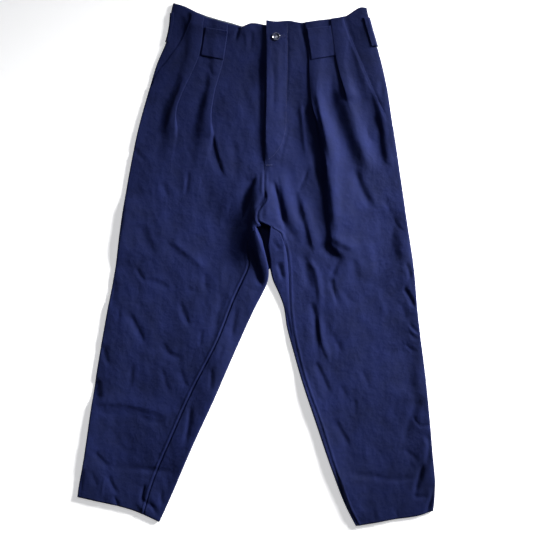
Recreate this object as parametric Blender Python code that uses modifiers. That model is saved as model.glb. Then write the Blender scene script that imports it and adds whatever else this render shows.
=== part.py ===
"""Navy balloon trousers laid out flat, front upwards, with the waist towards +Y.

Lengths below are in millimetres. X runs to the right as the trousers are seen from above, Y towards the
waist and Z up from the surface they lie on. Left and right in the names are the wearer's, so the right leg
lies at -X. Each panel is a grid on the middle surface of its cloth, with a row for each section from the hem
to the waist, and a Solidify modifier gives it the thickness of the cloth.
"""

import math
from collections import namedtuple

import bmesh
import bpy
import numpy as np

MM = 0.001
CLOTH = 1.2  # thickness of the suiting
LOOP_CLOTH = 1.6  # a belt loop is a folded strip, so it is thicker
SEAM = 0.3  # gap between two pieces where they are sewn or lie on each other
FLOOR_LAYER = CLOTH / 2  # height of the back panels' middle surface
LOWEST_TOP = 1.5 * CLOTH + SEAM  # the lowest that the middle surface of the front can lie
USUAL_TOP = 5.0  # and where it lies away from creases

# Sections of the legs and the body, as heights along Y.
HEM = -470
NOTCH = -10
CROTCH_GUSSET = 64
CROTCH = 73
FLY_END = 190
RIGHT_POCKET_END = 331
LEFT_POCKET_END = 262
WAIST = 466
SECTIONS = np.array(
    [HEM, -450, -420, -385, -350, -312, -275, -237, -200, -162, -125, -92, -62, -35, NOTCH, 12, 32, 49]
    + [CROTCH_GUSSET, CROTCH, 86, 100, 116, 138, 164, FLY_END, 212, 238, LEFT_POCKET_END, LEFT_POCKET_END + 8]
    + [300, RIGHT_POCKET_END, RIGHT_POCKET_END + 8, 364, 388, 410, 430, 449, WAIST],
    float,
)
HEM_SLANT_REACH = 130  # how far up the leg the sections still slant as the hem does
WAIST_CURVE_REACH = 150

FLY_UNDERLAP = 17  # how far the right front runs on under the fly
FLY_STEP = 3.6  # from the underlap's middle surface up to the fly's
FLY_LIFT = 3.4  # how much more the fly's free edge stands off
POCKET_UNDERLAP = 13  # how far the pocket facing runs on under the front
POCKET_STEP = CLOTH + 2 * SEAM  # from the front's middle surface down to the facing's
EDGE_ROLL = 2.3  # how far the cloth's fold at a side or inner edge reaches sideways
LEAST_STRIP = 1.6  # the least that a back shows between that fold and the inseam
RIDGE_GAP = 0.6  # how much wider the inseam's gap is where it runs along the ridges at the crotch
SEAT_GAP = 1.2  # at the bottom of the seat seam, where the two backs part

# Each line below is a list of (y, x) along the laid-out garment, read from the hem up.
RIGHT_SIDE = [
    (-480, -342), (-442, -341), (-371, -329), (-280, -316), (-190, -302), (-98, -286), (-7, -269),
    (85, -257), (176, -242), (267, -223), (335, -204), (381, -190), (427, -171), (455, -165), (484, -162), (500, -158),
]
RIGHT_EDGE = [
    (-495, -187), (-440, -162), (-349, -123), (-258, -81), (-166, -41), (-75, 1), (-52, 12), (-30, 20),
    (NOTCH, 22), (12, 20), (34, 15), (55, 9), (CROTCH, 3),
]
RIGHT_INSEAM = [
    (-485, -217), (-425, -202), (-322, -160), (-235, -122), (-147, -77), (-52, -39), (-27, -27),
    (-3, -17), (31, -18), (45, -15), (58, -8), (CROTCH, 5),
]
LEFT_SIDE = [
    (-485, 333), (-463, 337), (-417, 340), (-371, 336), (-280, 328), (-190, 319), (-98, 307), (-7, 299),
    (85, 286), (176, 273), (267, 259), (335, 248), (381, 238), (427, 225), (455, 217), (480, 211), (495, 208),
]
LEFT_EDGE = [
    (-500, 190), (-463, 171), (-394, 144), (-303, 113), (-212, 83), (-166, 70), (-121, 58), (-75, 50),
    (-52, 41), (-30, 31), (NOTCH, 27), (12, 25), (34, 25), (55, 27), (CROTCH, 30),
]
LEFT_INSEAM = [
    (-500, 194), (-463, 176), (-394, 150), (-303, 121), (-212, 89), (-166, 77), (-121, 68), (-75, 63),
    (-48, 62), (-1, 60), (32, 55), (49, 49), (CROTCH_GUSSET, 38), (CROTCH, 12),
]
CENTRE_SEAM = [
    (CROTCH, 9), (80, 4), (90, 2), (103, 5), (110, 10), (118, 16), (140, 15), (FLY_END, 15.5), (240, 17),
    (400, 19), (WAIST, 18),
]
CENTRE_BACK = [(NOTCH, 24.5), (WAIST, 18)]
RIGHT_POCKET = [
    (RIGHT_POCKET_END, -205), (RIGHT_POCKET_END + 8, -198), (357, -190), (389, -166), (423, -143), (WAIST, -128),
]
LEFT_POCKET = [
    (LEFT_POCKET_END, 259), (LEFT_POCKET_END + 8, 253), (300, 238), (351, 212), (387, 195), (450, 171), (WAIST, 166),
]

# The hem and waist edges, as (x, y) from left to right.
RIGHT_HEM = [(-341, -442), (-301, -451), (-240, -466), (-210, -478), (-187, -489)]
LEFT_HEM = [(191, -497), (216, -493), (261, -485), (307, -478), (337, -468)]
RIGHT_WAIST = [(-158, 497), (-134, 489), (-119, 480), (-73, 463), (-43, 455), (-28, 452), (-12, 458), (18, 455)]
LEFT_WAIST = [(18, 463), (33, 461), (64, 462), (79, 459), (125, 464), (170, 472), (200, 488), (210, 486)]
RIGHT_BACK_WAIST = [(-158, 497), (-134, 491), (-119, 483), (-73, 467), (-43, 459), (-28, 454), (18, 451)]
LEFT_BACK_WAIST = [(18, 455), (125, 460), (170, 469), (200, 486), (210, 485)]

# Crests of the pleats, where the folded edge shows. Each fold faces the centre of the front.
RIGHT_OUTER_PLEAT = [
    (-490, -292), (-300, -254), (-98, -208), (60, -182), (100, -175), (189, -164), (261, -156), (299, -152),
    (326, -142), (360, -126), (395, -111), (WAIST, -101),
]
RIGHT_INNER_PLEAT = [
    (-490, -240), (-262, -168), (-98, -132), (60, -120), (132, -113), (180, -103), (250, -88), (288, -87),
    (326, -81), (389, -64), (WAIST, -54),
]
LEFT_INNER_PLEAT = [
    (-490, 238), (-262, 180), (-98, 154), (30, 146), (85, 145), (123, 140), (166, 134), (199, 133),
    (233, 125), (269, 115), (288, 108), (328, 103), (392, 100), (WAIST, 92),
]
LEFT_OUTER_PLEAT = [
    (-490, 288), (-262, 252), (-98, 238), (60, 232), (132, 223), (180, 212), (218, 200), (265, 189),
    (316, 175), (370, 159), (398, 151), (WAIST, 142),
]

# How a pleat opens on its way down: the cloth turns up by `turn` degrees at radius `bend`, runs `depth` back
# under the fold and turns forward again. `spread` is how far the roll above it reaches towards the side.
Opening = namedtuple("Opening", "y turn bend depth spread")
PLEAT_OPENING = [
    Opening(-60, 3, 80, 2, 26),
    Opening(20, 8, 34, 2, 26),
    Opening(85, 18, 15, 2, 25),
    Opening(150, 32, 9, 3, 24),
    Opening(205, 52, 5.5, 4, 22),
    Opening(245, 84, 3.2, 4, 20),
    Opening(275, 118, 2.0, 5, 18),
    Opening(305, 148, 1.3, 8, 16),
    Opening(335, 172, 1.0, 12, 14),
    Opening(370, 180, 0.95, 15, 12),
    Opening(WAIST, 180, 0.95, 17, 11),
]
ARC_STEPS = 3  # in each of a pleat's two bends
SPAN_COLUMNS = (6, 4)  # plain columns before the inner pleat, and between the pleats
SIDE_COLUMNS = 4  # and from the outer pleat to the side
FLOOR_SHARES = np.array([0, 0.33, 0.66, 1])  # where a back's columns lie, from its side to its inner edge
SIDE_ANGLES = np.radians([35, 62, 90])  # of the columns round a side's roll, above and below its seam
FOLD_ANGLES = np.radians([-90, -45, 0, 45, 90])  # of those round the fold at a leg's inner edge
FREE_EDGE_STEP = 0.4  # between the last columns at a pocket's mouth
SEAT_STEP = 3.0  # and beside the seat seam

# Hollows and ridges of the laid cloth, each a curve through three points that fades at its ends. `lit` and
# `lee` are its half widths towards the waist or +X side and away from it, and `rise` is negative in a hollow.
Crease = namedtuple("Crease", "x0 y0 x1 y1 x2 y2 lit lee rise")
CREASES = [
    # the raised crotch, its deep hollow on the right leg, and the ridges round it
    Crease(30, 190, 18, 90, 26, -60, 46, 62, 7.0),
    Crease(-30, 120, -12, 46, 9, -36, 13, 26, -12.0),
    Crease(-12, 84, 8, 37, 22, -22, 7, 7, 7.5),
    Crease(34, 160, 50, 62, 63, -96, 7, 9, 5.5),
    Crease(34, 158, 50, 109, 68, 62, 6, 5, -4.0),
    Crease(-4, 172, -30, 118, -62, 66, 14, 20, -3.2),
    Crease(21, 150, 14, 112, 10, 80, 8, 7, 4.0),
    # the right front, beside and below its pleats
    Crease(-84, 352, -106, 265, -133, 138, 9, 17, -2.4),
    Crease(-120, 372, -154, 316, -182, 232, 10, 16, -1.8),
    Crease(-82, 256, -71, 208, -57, 168, 8, 8, -2.0),
    Crease(-168, 31, -149, 16, -124, -5, 10, 10, -1.5),
    Crease(-243, -94, -221, -124, -200, -162, 9, 9, -2.2),
    Crease(-147, -78, -132, -102, -121, -130, 8, 8, -1.6),
    Crease(-308, -273, -230, -277, -146, -296, 9, 24, -1.9),
    Crease(-290, -386, -221, -390, -146, -396, 20, 9, -1.4),
    Crease(-84, -196, -88, -215, -92, -234, 8, 8, -2.0),
    Crease(-126, -295, -130, -322, -135, -348, 8, 8, -2.0),
    # the left front, beside and below its pleats
    Crease(88, 262, 118, 205, 131, 120, 11, 13, -1.6),
    Crease(86, 76, 102, 8, 114, -52, 8, 12, -3.0),
    Crease(98, 20, 117, -39, 121, -146, 11, 9, 2.2),
    Crease(103, -88, 117, -140, 142, -204, 8, 11, -2.4),
    Crease(146, 88, 141, 32, 166, 14, 9, 11, -3.2),
    Crease(162, 276, 188, 223, 214, 156, 10, 13, -2.8),
    Crease(230, 280, 242, 236, 258, 186, 9, 12, -2.4),
    Crease(200, 286, 221, 223, 240, 150, 12, 12, 2.0),
    Crease(284, -50, 290, -100, 290, -156, 9, 12, -1.6),
    Crease(306, -261, 292, -298, 275, -334, 11, 11, -1.5),
    Crease(322, -320, 326, -360, 302, -430, 9, 11, -2.6),
    Crease(174, -397, 217, -400, 309, -406, 12, 9, -1.5),
]
CREASE_STEPS = 10

# Corners of the wide front belt loops as (x, y): top left, top right, bottom right, bottom left.
RIGHT_LOOP = [(-97, 450), (-55, 443), (-63, 389), (-106, 398)]
LEFT_LOOP = [(95, 446), (141, 452), (150, 400), (103, 392)]
LOOP_BOW = 1.4  # how far a front loop stands off at its middle
SIDE_LOOP_TOPS = (478, 468)  # right and left
SIDE_LOOP_LENGTH = 55
SIDE_LOOP_SHOWN = 12  # how far a side loop reaches onto the front

BUTTON_PLACE = (37, 434)
BUTTON_RADIUS = 7.6
BUTTON_THICKNESS = 2.8
BUTTON_RIM = 1.5
BUTTON_DISH = 1.9  # height of the middle of the button, inside its rim
BUTTON_HOLE_RADIUS = 0.95
BUTTON_HOLE_SPACING = 3.4

FACING_DEPTH = 42  # of the strip inside the back waist
FACING_SPAN = (-110, -18)

NAVY = (0.014, 0.020, 0.073)
LINING_GREY = (0.075, 0.095, 0.11)
BUTTON_NAVY = (0.010, 0.012, 0.025)


def smooth_line(points):
    """A function that runs smoothly through the given (place, value) pairs."""
    places, values = np.array(sorted(points), float).T
    slopes = np.gradient(values, places)

    def at(place):
        place = np.clip(place, places[0], places[-1])
        i = np.clip(np.searchsorted(places, place) - 1, 0, len(places) - 2)
        gap = places[i + 1] - places[i]
        u = (place - places[i]) / gap
        ends = values[i] * (1 + 2 * u) * (1 - u) ** 2 + values[i + 1] * u**2 * (3 - 2 * u)
        return ends + gap * (slopes[i] * u * (1 - u) ** 2 - slopes[i + 1] * u**2 * (1 - u))

    return at


def fade(value, start, end):
    """0 at start, 1 at end, and smooth between them."""
    u = np.clip((value - start) / (end - start), 0, 1)
    return u * u * (3 - 2 * u)


# A pleat's lines from foot to crest, where its roll is clear of its layers, the roll's height and its reach.
Fold = namedtuple("Fold", "xs heights clear rise spread")

# What one half of the garment is worked out from. `out` is +1 where the side lies towards +X.
Half = namedtuple("Half", "name out side edge inseam pocket pocket_end hem waist back_waist pleats loop")
RIGHT = Half(
    "right", -1,
    *map(smooth_line, (RIGHT_SIDE, RIGHT_EDGE, RIGHT_INSEAM, RIGHT_POCKET)), RIGHT_POCKET_END,
    *map(smooth_line, (RIGHT_HEM, RIGHT_WAIST, RIGHT_BACK_WAIST)),
    (smooth_line(RIGHT_INNER_PLEAT), smooth_line(RIGHT_OUTER_PLEAT)), RIGHT_LOOP,
)
LEFT = Half(
    "left", 1,
    *map(smooth_line, (LEFT_SIDE, LEFT_EDGE, LEFT_INSEAM, LEFT_POCKET)), LEFT_POCKET_END,
    *map(smooth_line, (LEFT_HEM, LEFT_WAIST, LEFT_BACK_WAIST)),
    (smooth_line(LEFT_INNER_PLEAT), smooth_line(LEFT_OUTER_PLEAT)), LEFT_LOOP,
)
centre_seam = smooth_line(CENTRE_SEAM)
centre_back = smooth_line(CENTRE_BACK)


def crease_height(crease, x, y):
    """What one crease adds to the height of the cloth at x, y."""
    u = np.linspace(0, 1, CREASE_STEPS + 1)
    # A parabola through the three points.
    first, middle, last = (1 - u) * (1 - 2 * u), 4 * u * (1 - u), u * (2 * u - 1)
    line_x = first * crease.x0 + middle * crease.x1 + last * crease.x2
    line_y = first * crease.y0 + middle * crease.y1 + last * crease.y2
    nearest = np.full(np.shape(x), np.inf)
    height = np.zeros(np.shape(x))
    for i in range(CREASE_STEPS):
        step_x = line_x[i + 1] - line_x[i]
        step_y = line_y[i + 1] - line_y[i]
        along = ((x - line_x[i]) * step_x + (y - line_y[i]) * step_y) / (step_x**2 + step_y**2)
        along = np.clip(along, 0, 1)
        off_x = x - line_x[i] - along * step_x
        off_y = y - line_y[i] - along * step_y
        away = np.hypot(off_x, off_y)
        width = np.where(step_x * off_y - step_y * off_x > 0, crease.lit, crease.lee)
        place = (i + along) / CREASE_STEPS
        here = crease.rise * np.sqrt(4 * place * (1 - place)) * np.exp(-((away / width) ** 2))
        height = np.where(away < nearest, here, height)
        nearest = np.minimum(away, nearest)
    return height


def cloth_height(x, y):
    """Height of the middle surface of the top cloth, before any pleat is folded into it."""
    height = USUAL_TOP + 0.9 * np.sin(x / 37) * np.sin(y / 61) + sum(crease_height(c, x, y) for c in CREASES)
    # A hollow flattens out where it meets the back panel.
    above = height - LOWEST_TOP
    return LOWEST_TOP + 0.5 * (above + np.sqrt(above**2 + 1.0))


def facing_height(x, y):
    """The pocket facing's middle surface, one layer under the front's."""
    return np.maximum(cloth_height(x, y) - POCKET_STEP, LOWEST_TOP)


def front_height(half, x, y):
    """The front's middle surface without its pleats' layers. The fly of the left front lies over the right."""
    overlapped = fade(y, FLY_END - 18, FLY_END + 16)
    if half is LEFT:
        lifted = FLY_LIFT * fade(y, FLY_END + 5, FLY_END + 110) * np.exp(-(((x - centre_seam(y)) / 26) ** 2))
        step = overlapped * FLY_STEP / 2 + lifted
    else:
        step = -overlapped * FLY_STEP / 2 * fade(x, -22, 6)
    over_pocket = LOWEST_TOP + np.where(y > half.pocket_end - 20, POCKET_STEP * fade(half.out * x, 60, 120), 0)
    return np.maximum(cloth_height(x, y) + step, over_pocket)


def bent_to_edges(half, waist, x, level):
    """Y of a section at x: level, but for the slant of the hem and the curve of the waist near them."""
    to_hem = (half.hem(x) - HEM) * (1 - fade(level, HEM, HEM + HEM_SLANT_REACH))
    to_waist = (waist(x) - WAIST) * fade(level, WAIST - WAIST_CURVE_REACH, WAIST)
    return level + to_hem + to_waist


def follow(half, waist, level, columns, lines):
    """Y along a panel's columns, where lines gives the x of every column at heights y."""
    y = np.repeat(level, columns, axis=1)
    for _ in range(4):
        y = bent_to_edges(half, waist, lines(y), level)
    return y


def fold_x(half, y):
    """X on the top where the fold at a leg's inner edge begins."""
    return half.edge(y) + half.out * (CLOTH / 2 + EDGE_ROLL)


def inseam_x(half, y):
    """X of the inseam, which shows on the top just outside that fold."""
    return half.out * np.maximum(half.out * half.inseam(y), half.out * fold_x(half, y) + LEAST_STRIP)


def inseam_gap(y):
    """Gap at the inseam, a little wider where the seam runs along a ridge."""
    return SEAM + RIDGE_GAP * fade(y, -200, 0)


def front_inner_end(half, y):
    """X of the front's inner end: along the inseam, the centre seam or the fly."""
    centre = centre_seam(y)
    if half is RIGHT:
        centre = centre + np.where(y > FLY_END + 5, FLY_UNDERLAP, 0)
    return np.where(y < CROTCH - 1, inseam_x(half, y) + half.out * inseam_gap(y) / 2, centre + half.out * SEAM / 2)


def side_roll_x(half, y):
    """X where the cloth starts to roll over at the side."""
    return half.side(y) - half.out * (CLOTH / 2 + EDGE_ROLL)


def pleat_fold(half, pleat, y):
    """The fold of a pleat at heights y."""
    places = [row.y for row in PLEAT_OPENING]
    turn, bend, depth, spread = (
        np.interp(y, places, [getattr(row, name) for row in PLEAT_OPENING])
        for name in ("turn", "bend", "depth", "spread")
    )
    turn = np.radians(turn)
    across = 2 * bend * np.sin(turn) + depth * np.cos(turn)
    rise = 2 * bend * (1 - np.cos(turn)) + depth * np.sin(turn)
    crest = pleat(y)
    foot = crest - half.out * across
    angles = [turn * i / ARC_STEPS for i in range(ARC_STEPS + 1)]
    xs = [foot + half.out * bend * np.sin(angle) for angle in angles]
    heights = [bend * (1 - np.cos(angle)) for angle in angles]
    xs += [crest - half.out * bend * np.sin(angle) for angle in reversed(angles)]
    heights += [rise - bend * (1 - np.cos(angle)) for angle in reversed(angles)]
    # The roll keeps its height until it is clear of the layers below, and then falls towards the side.
    layers_reach = bend * np.sin(np.minimum(turn, math.pi / 2)) - across
    clear = crest + half.out * (np.maximum(layers_reach, 0) + CLOTH)
    return Fold(xs, heights, clear, rise, spread)


def front_lines(half, level, y):
    """The x of every column of a front at heights y, and how far the pleats raise the cloth there."""
    folds = [pleat_fold(half, pleat, y) for pleat in half.pleats]
    flat = np.zeros_like(y)
    xs, heights = [], []
    start = front_inner_end(half, y)
    for fold, width in zip(folds, SPAN_COLUMNS):
        xs += [start + (fold.xs[0] - start) * i / width for i in range(width)] + fold.xs
        heights += [flat] * width + fold.heights
        start = fold.clear
    end = np.where(level > half.pocket_end, half.pocket(y), side_roll_x(half, y))
    xs += [start + (end - start) * i / SIDE_COLUMNS for i in range(SIDE_COLUMNS + 1)]
    heights += [flat] * (SIDE_COLUMNS + 1)
    x = np.stack([grid[:, i] for i, grid in enumerate(xs)], axis=1)
    lift = np.stack([grid[:, i] for i, grid in enumerate(heights)], axis=1)
    passed = 0
    for fold, width in zip(folds, SPAN_COLUMNS):
        passed += width + len(fold.xs)
        beyond = np.maximum(half.out * (x - fold.clear), 0)
        lift[:, passed:] += (fold.rise * np.exp(-((beyond / fold.spread) ** 2)))[:, passed:]
    return x, lift


def side_roll(out, roll_x, top_z, side_of_seam, reach=0.0):
    """A roll at the side as (x, z) from the seam at mid height to level. side_of_seam is -1 below the seam."""
    middle, rise = (top_z + FLOOR_LAYER) / 2, (top_z - FLOOR_LAYER) / 2
    points = [
        (roll_x + out * (EDGE_ROLL + reach) * math.cos(a), middle + side_of_seam * (rise + reach) * math.sin(a))
        for a in SIDE_ANGLES
    ]
    return [(points[0][0], middle + side_of_seam * SEAM / 2)] + points


def inner_fold(half, x, y):
    """The fold at a leg's inner edge as (x, z), from the surface round to the top at x."""
    top_z = cloth_height(x, y)
    middle, rise = (top_z + FLOOR_LAYER) / 2, (top_z - FLOOR_LAYER) / 2
    return [(x - half.out * EDGE_ROLL * math.cos(a), middle + rise * math.sin(a)) for a in FOLD_ANGLES]


def side_top(half, level, x, y):
    """Height of the top layer where it rolls over at the side."""
    return np.where(level > half.pocket_end, facing_height(x, y), front_height(half, x, y))


def front_grid(half, levels):
    """The middle surface of a front, from its inner end to its side."""
    level = levels[:, None]
    columns = sum(SPAN_COLUMNS) + SIDE_COLUMNS + 1 + len(half.pleats) * 2 * (ARC_STEPS + 1)
    y = follow(half, half.waist, level, columns, lambda y: front_lines(half, level, y)[0])
    x, lift = front_lines(half, level, y)
    z = front_height(half, x, y) + lift
    end_x, end_y, end_z = x[:, -1:], y[:, -1:], z[:, -1:]
    opened = level > half.pocket_end
    rolled = side_roll(half.out, end_x, end_z, 1)[-2::-1]
    for i, (roll_x, roll_z) in enumerate(rolled):
        # The mouth of a pocket is an edge that lies on the facing, so there the last columns run level.
        x = np.hstack([x, np.where(opened, end_x + half.out * FREE_EDGE_STEP * (i + 1), roll_x)])
        y = np.hstack([y, end_y])
        z = np.hstack([z, np.where(opened, end_z, roll_z)])
    return x, y, z


def back_floor_grid(half, levels):
    """The part of a back on the surface, from its side to half way up the leg's fold or to the seat seam."""
    level = levels[:, None]

    def lines(y):
        gap = SEAM + SEAT_GAP * (1 - fade(y, NOTCH, CROTCH))
        seat = centre_back(y) + half.out * gap / 2
        start, end = side_roll_x(half, y), np.where(level > NOTCH, seat, fold_x(half, y))
        return start + (end - start) * FLOOR_SHARES

    y = follow(half, half.back_waist, level, len(FLOOR_SHARES), lines)
    x = lines(y)
    start_x, start_y, end_x, end_y = x[:, :1], y[:, :1], x[:, -1:], y[:, -1:]
    roll = side_roll(half.out, start_x, side_top(half, level, start_x, start_y), -1)[:-1]
    fold = inner_fold(half, end_x, end_y)[:3]
    on_floor = np.full_like(end_x, FLOOR_LAYER)
    inner = []
    for i, (around_x, around_z) in enumerate(fold):
        beside_seat = end_x + half.out * SEAT_STEP * (len(fold) - 1 - i)
        inner.append((np.where(level > NOTCH, beside_seat, around_x), np.where(level > NOTCH, on_floor, around_z)))
    grid_x = np.hstack([place for place, _ in roll] + [x[:, :-1]] + [place for place, _ in inner])
    grid_y = np.hstack([start_y] * len(roll) + [y[:, :-1]] + [end_y] * len(inner))
    grid_z = np.hstack([z for _, z in roll] + [np.repeat(on_floor, x.shape[1] - 1, axis=1)] + [z for _, z in inner])
    return grid_x, grid_y, grid_z


def back_strip_grid(half, levels):
    """The part of a back that shows on top, from half way up the leg's fold to the inseam."""
    level = levels[:, None]

    def lines(y):
        start, end = fold_x(half, y), inseam_x(half, y) - half.out * inseam_gap(y) / 2
        return start + (end - start) * FLOOR_SHARES

    y = follow(half, half.waist, level, len(FLOOR_SHARES), lines)
    x = lines(y)
    start_y = y[:, :1]
    edge, shoulder = inner_fold(half, x[:, :1], start_y)[2:4]
    # Above the notch the seat seam has parted the fold, and the edge hangs over the back below it.
    edge_z = np.where(level > NOTCH, np.maximum(edge[1], LOWEST_TOP + SEAM), edge[1])
    grid_x = np.hstack([edge[0], shoulder[0], x])
    grid_y = np.hstack([start_y, start_y, y])
    grid_z = np.hstack([edge_z, shoulder[1], cloth_height(x, y)])
    return grid_x, grid_y, grid_z


def facing_grid(half, levels):
    """A pocket's facing, from under the front to the side seam."""
    level = levels[:, None]

    def lines(y):
        start, end = half.pocket(y) - half.out * POCKET_UNDERLAP, side_roll_x(half, y)
        return start + (end - start) * FLOOR_SHARES

    y = follow(half, half.waist, level, len(FLOOR_SHARES), lines)
    x = lines(y)
    end_y = y[:, -1:]
    roll = side_roll(half.out, x[:, -1:], facing_height(x[:, -1:], end_y), 1)[-2::-1]
    grid_x = np.hstack([x] + [place for place, _ in roll])
    grid_y = np.hstack([y] + [end_y] * len(roll))
    grid_z = np.hstack([facing_height(x, y)] + [z for _, z in roll])
    return grid_x, grid_y, grid_z


def front_loop_grid(half):
    """A wide loop that lies across the two pleats of a front, sewn down at its top and bottom."""
    over_pleats = 4 * PLEAT_OPENING[-1].bend + CLOTH / 2 + SEAM + LOOP_CLOTH / 2
    top_left, top_right, bottom_right, bottom_left = np.array(half.loop, float)
    down = np.linspace(0, 1, 6)[:, None, None]
    share = np.linspace(0, 1, 6)[None, :, None]
    left = top_left + (bottom_left - top_left) * down
    right = top_right + (bottom_right - top_right) * down
    x, y = np.moveaxis(left + (right - left) * share, 2, 0)
    z = front_height(half, x, y) + over_pleats + LOOP_BOW * np.sin(np.pi * down[:, :, 0])
    return x, y, z


def side_loop_grid(half, top):
    """A loop over a side, from the pocket's facing outwards and down round the roll."""
    over = CLOTH / 2 + 3 * SEAM + LOOP_CLOTH / 2
    y = np.linspace(top, top - SIDE_LOOP_LENGTH, 6)[:, None]
    roll_x = side_roll_x(half, y)
    top_z = facing_height(roll_x, y)
    x = roll_x - half.out * SIDE_LOOP_SHOWN * np.array([1, 0.5])
    roll = side_roll(half.out, roll_x, top_z, 1, over / math.cos(SIDE_ANGLES[0]))[::-1]
    grid_x = np.hstack([x] + [place for place, _ in roll])
    grid_z = np.hstack([facing_height(x, y) + over] + [z for _, z in roll])
    return grid_x, np.repeat(y, grid_x.shape[1], axis=1), grid_z


def waist_facing_grid():
    """The strip inside the back waist, which shows above the dip of the right front."""
    x = np.linspace(*FACING_SPAN, 9)[None, :]
    down = np.linspace(0, FACING_DEPTH, 3)[:, None]
    y = RIGHT.back_waist(x) - CLOTH / 2 - down
    x = np.repeat(x, 3, axis=0)
    return x, y, np.full_like(x, LOWEST_TOP)


def material(name, colour, roughness):
    made = bpy.data.materials.new(name)
    made.use_nodes = True
    shader = made.node_tree.nodes["Principled BSDF"]
    shader.inputs["Base Color"].default_value = (*colour, 1.0)
    shader.inputs["Roughness"].default_value = roughness
    shader.inputs["Metallic"].default_value = 0.0
    return made


def add_grid(mesh, x, y, z):
    """Adds a grid whose points are the given ones, in millimetres."""
    rows, columns = x.shape
    made = bmesh.ops.create_grid(mesh, x_segments=columns - 1, y_segments=rows - 1, size=0.5)["verts"]
    for vertex in made:
        place = round((vertex.co.y + 0.5) * (rows - 1)), round((vertex.co.x + 0.5) * (columns - 1))
        vertex.co = (x[place] * MM, y[place] * MM, z[place] * MM)


def cloth_piece(name, grids, cloth, collection, thickness=CLOTH):
    """An object from the middle surface of its cloth, given its thickness."""
    mesh = bmesh.new()
    for grid in grids:
        add_grid(mesh, *grid)
    bmesh.ops.remove_doubles(mesh, verts=mesh.verts, dist=0.01 * MM)
    bmesh.ops.recalc_face_normals(mesh, faces=mesh.faces)
    data = bpy.data.meshes.new(name)
    mesh.to_mesh(data)
    mesh.free()
    data.materials.append(cloth)
    data.shade_smooth()
    piece = bpy.data.objects.new(name, data)
    collection.objects.link(piece)
    wall = piece.modifiers.new("cloth thickness", "SOLIDIFY")
    wall.thickness = thickness * MM
    wall.offset = 0.0
    wall.use_even_offset = True
    wall.use_quality_normals = True


def build_cloth(cloth, lining, collection):
    for half, loop_top in zip((RIGHT, LEFT), SIDE_LOOP_TOPS):
        pocket_sections = SECTIONS[SECTIONS > half.pocket_end]
        backs = [back_floor_grid(half, SECTIONS), back_strip_grid(half, SECTIONS[SECTIONS < CROTCH])]
        cloth_piece(f"back_{half.name}", backs, cloth, collection)
        cloth_piece(f"front_{half.name}", [front_grid(half, SECTIONS)], cloth, collection)
        cloth_piece(f"pocket_facing_{half.name}", [facing_grid(half, pocket_sections)], cloth, collection)
        cloth_piece(f"belt_loop_front_{half.name}", [front_loop_grid(half)], cloth, collection, LOOP_CLOTH)
        side_loop = side_loop_grid(half, loop_top)
        cloth_piece(f"belt_loop_side_{half.name}", [side_loop], cloth, collection, LOOP_CLOTH)
    cloth_piece("waist_facing_back", [waist_facing_grid()], lining, collection)


def build_button(plastic, collection, cutters):
    """A four-hole button with a raised rim, on the fly at the waist."""
    x, y = BUTTON_PLACE
    around = np.linspace(0, 2 * np.pi, 12)
    cloth_top = front_height(LEFT, x + BUTTON_RADIUS * np.cos(around), y + BUTTON_RADIUS * np.sin(around)).max()
    inner = BUTTON_RADIUS - BUTTON_RIM
    profile = [
        (0, BUTTON_DISH), (inner - 0.6, BUTTON_DISH), (inner, BUTTON_THICKNESS - 0.2),
        (inner + 0.5, BUTTON_THICKNESS), (BUTTON_RADIUS - 0.4, BUTTON_THICKNESS - 0.3),
        (BUTTON_RADIUS, BUTTON_THICKNESS / 2), (BUTTON_RADIUS - 0.9, 0.25), (BUTTON_RADIUS - 1.8, 0), (0, 0),
    ]
    mesh = bmesh.new()
    rim = [mesh.verts.new((r * MM, 0, z * MM)) for r, z in profile]
    edges = [mesh.edges.new(pair) for pair in zip(rim, rim[1:])]
    bmesh.ops.spin(
        mesh, geom=rim + edges, cent=(0, 0, 0), axis=(0, 0, 1), angle=2 * math.pi, steps=28, use_merge=True
    )
    bmesh.ops.remove_doubles(mesh, verts=mesh.verts, dist=0.01 * MM)
    bmesh.ops.recalc_face_normals(mesh, faces=mesh.faces)
    data = bpy.data.meshes.new("button")
    mesh.to_mesh(data)
    mesh.free()
    data.materials.append(plastic)
    data.shade_smooth()
    button = bpy.data.objects.new("button", data)
    button.location = (x * MM, y * MM, (cloth_top + CLOTH / 2 + SEAM) * MM)
    collection.objects.link(button)
    for i in range(4):
        drill_hole(button, math.radians(45 + 90 * i), f"button_hole_{i}", cutters)


def drill_hole(button, angle, name, cutters):
    """Cuts one of the button's sewing holes."""
    mesh = bmesh.new()
    bmesh.ops.create_cone(
        mesh, cap_ends=True, segments=10, radius1=BUTTON_HOLE_RADIUS * MM, radius2=BUTTON_HOLE_RADIUS * MM,
        depth=4 * BUTTON_THICKNESS * MM,
    )
    data = bpy.data.meshes.new(name)
    mesh.to_mesh(data)
    mesh.free()
    hole = bpy.data.objects.new(name, data)
    reach = BUTTON_HOLE_SPACING / math.sqrt(2) * MM
    hole.location = button.location
    hole.location.x += reach * math.cos(angle)
    hole.location.y += reach * math.sin(angle)
    hole.hide_render = True
    hole.display_type = "WIRE"
    cutters.objects.link(hole)
    cut = button.modifiers.new(name, "BOOLEAN")
    cut.operation = "DIFFERENCE"
    cut.object = hole


def main():
    for old in list(bpy.data.objects):
        bpy.data.objects.remove(old)
    trousers = bpy.data.collections.new("balloon_trousers")
    cutters = bpy.data.collections.new("cutters")
    bpy.context.scene.collection.children.link(trousers)
    bpy.context.scene.collection.children.link(cutters)
    build_cloth(material("navy suiting", NAVY, 0.85), material("grey waist lining", LINING_GREY, 0.8), trousers)
    build_button(material("polished navy button", BUTTON_NAVY, 0.2), trousers, cutters)


main()
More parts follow.
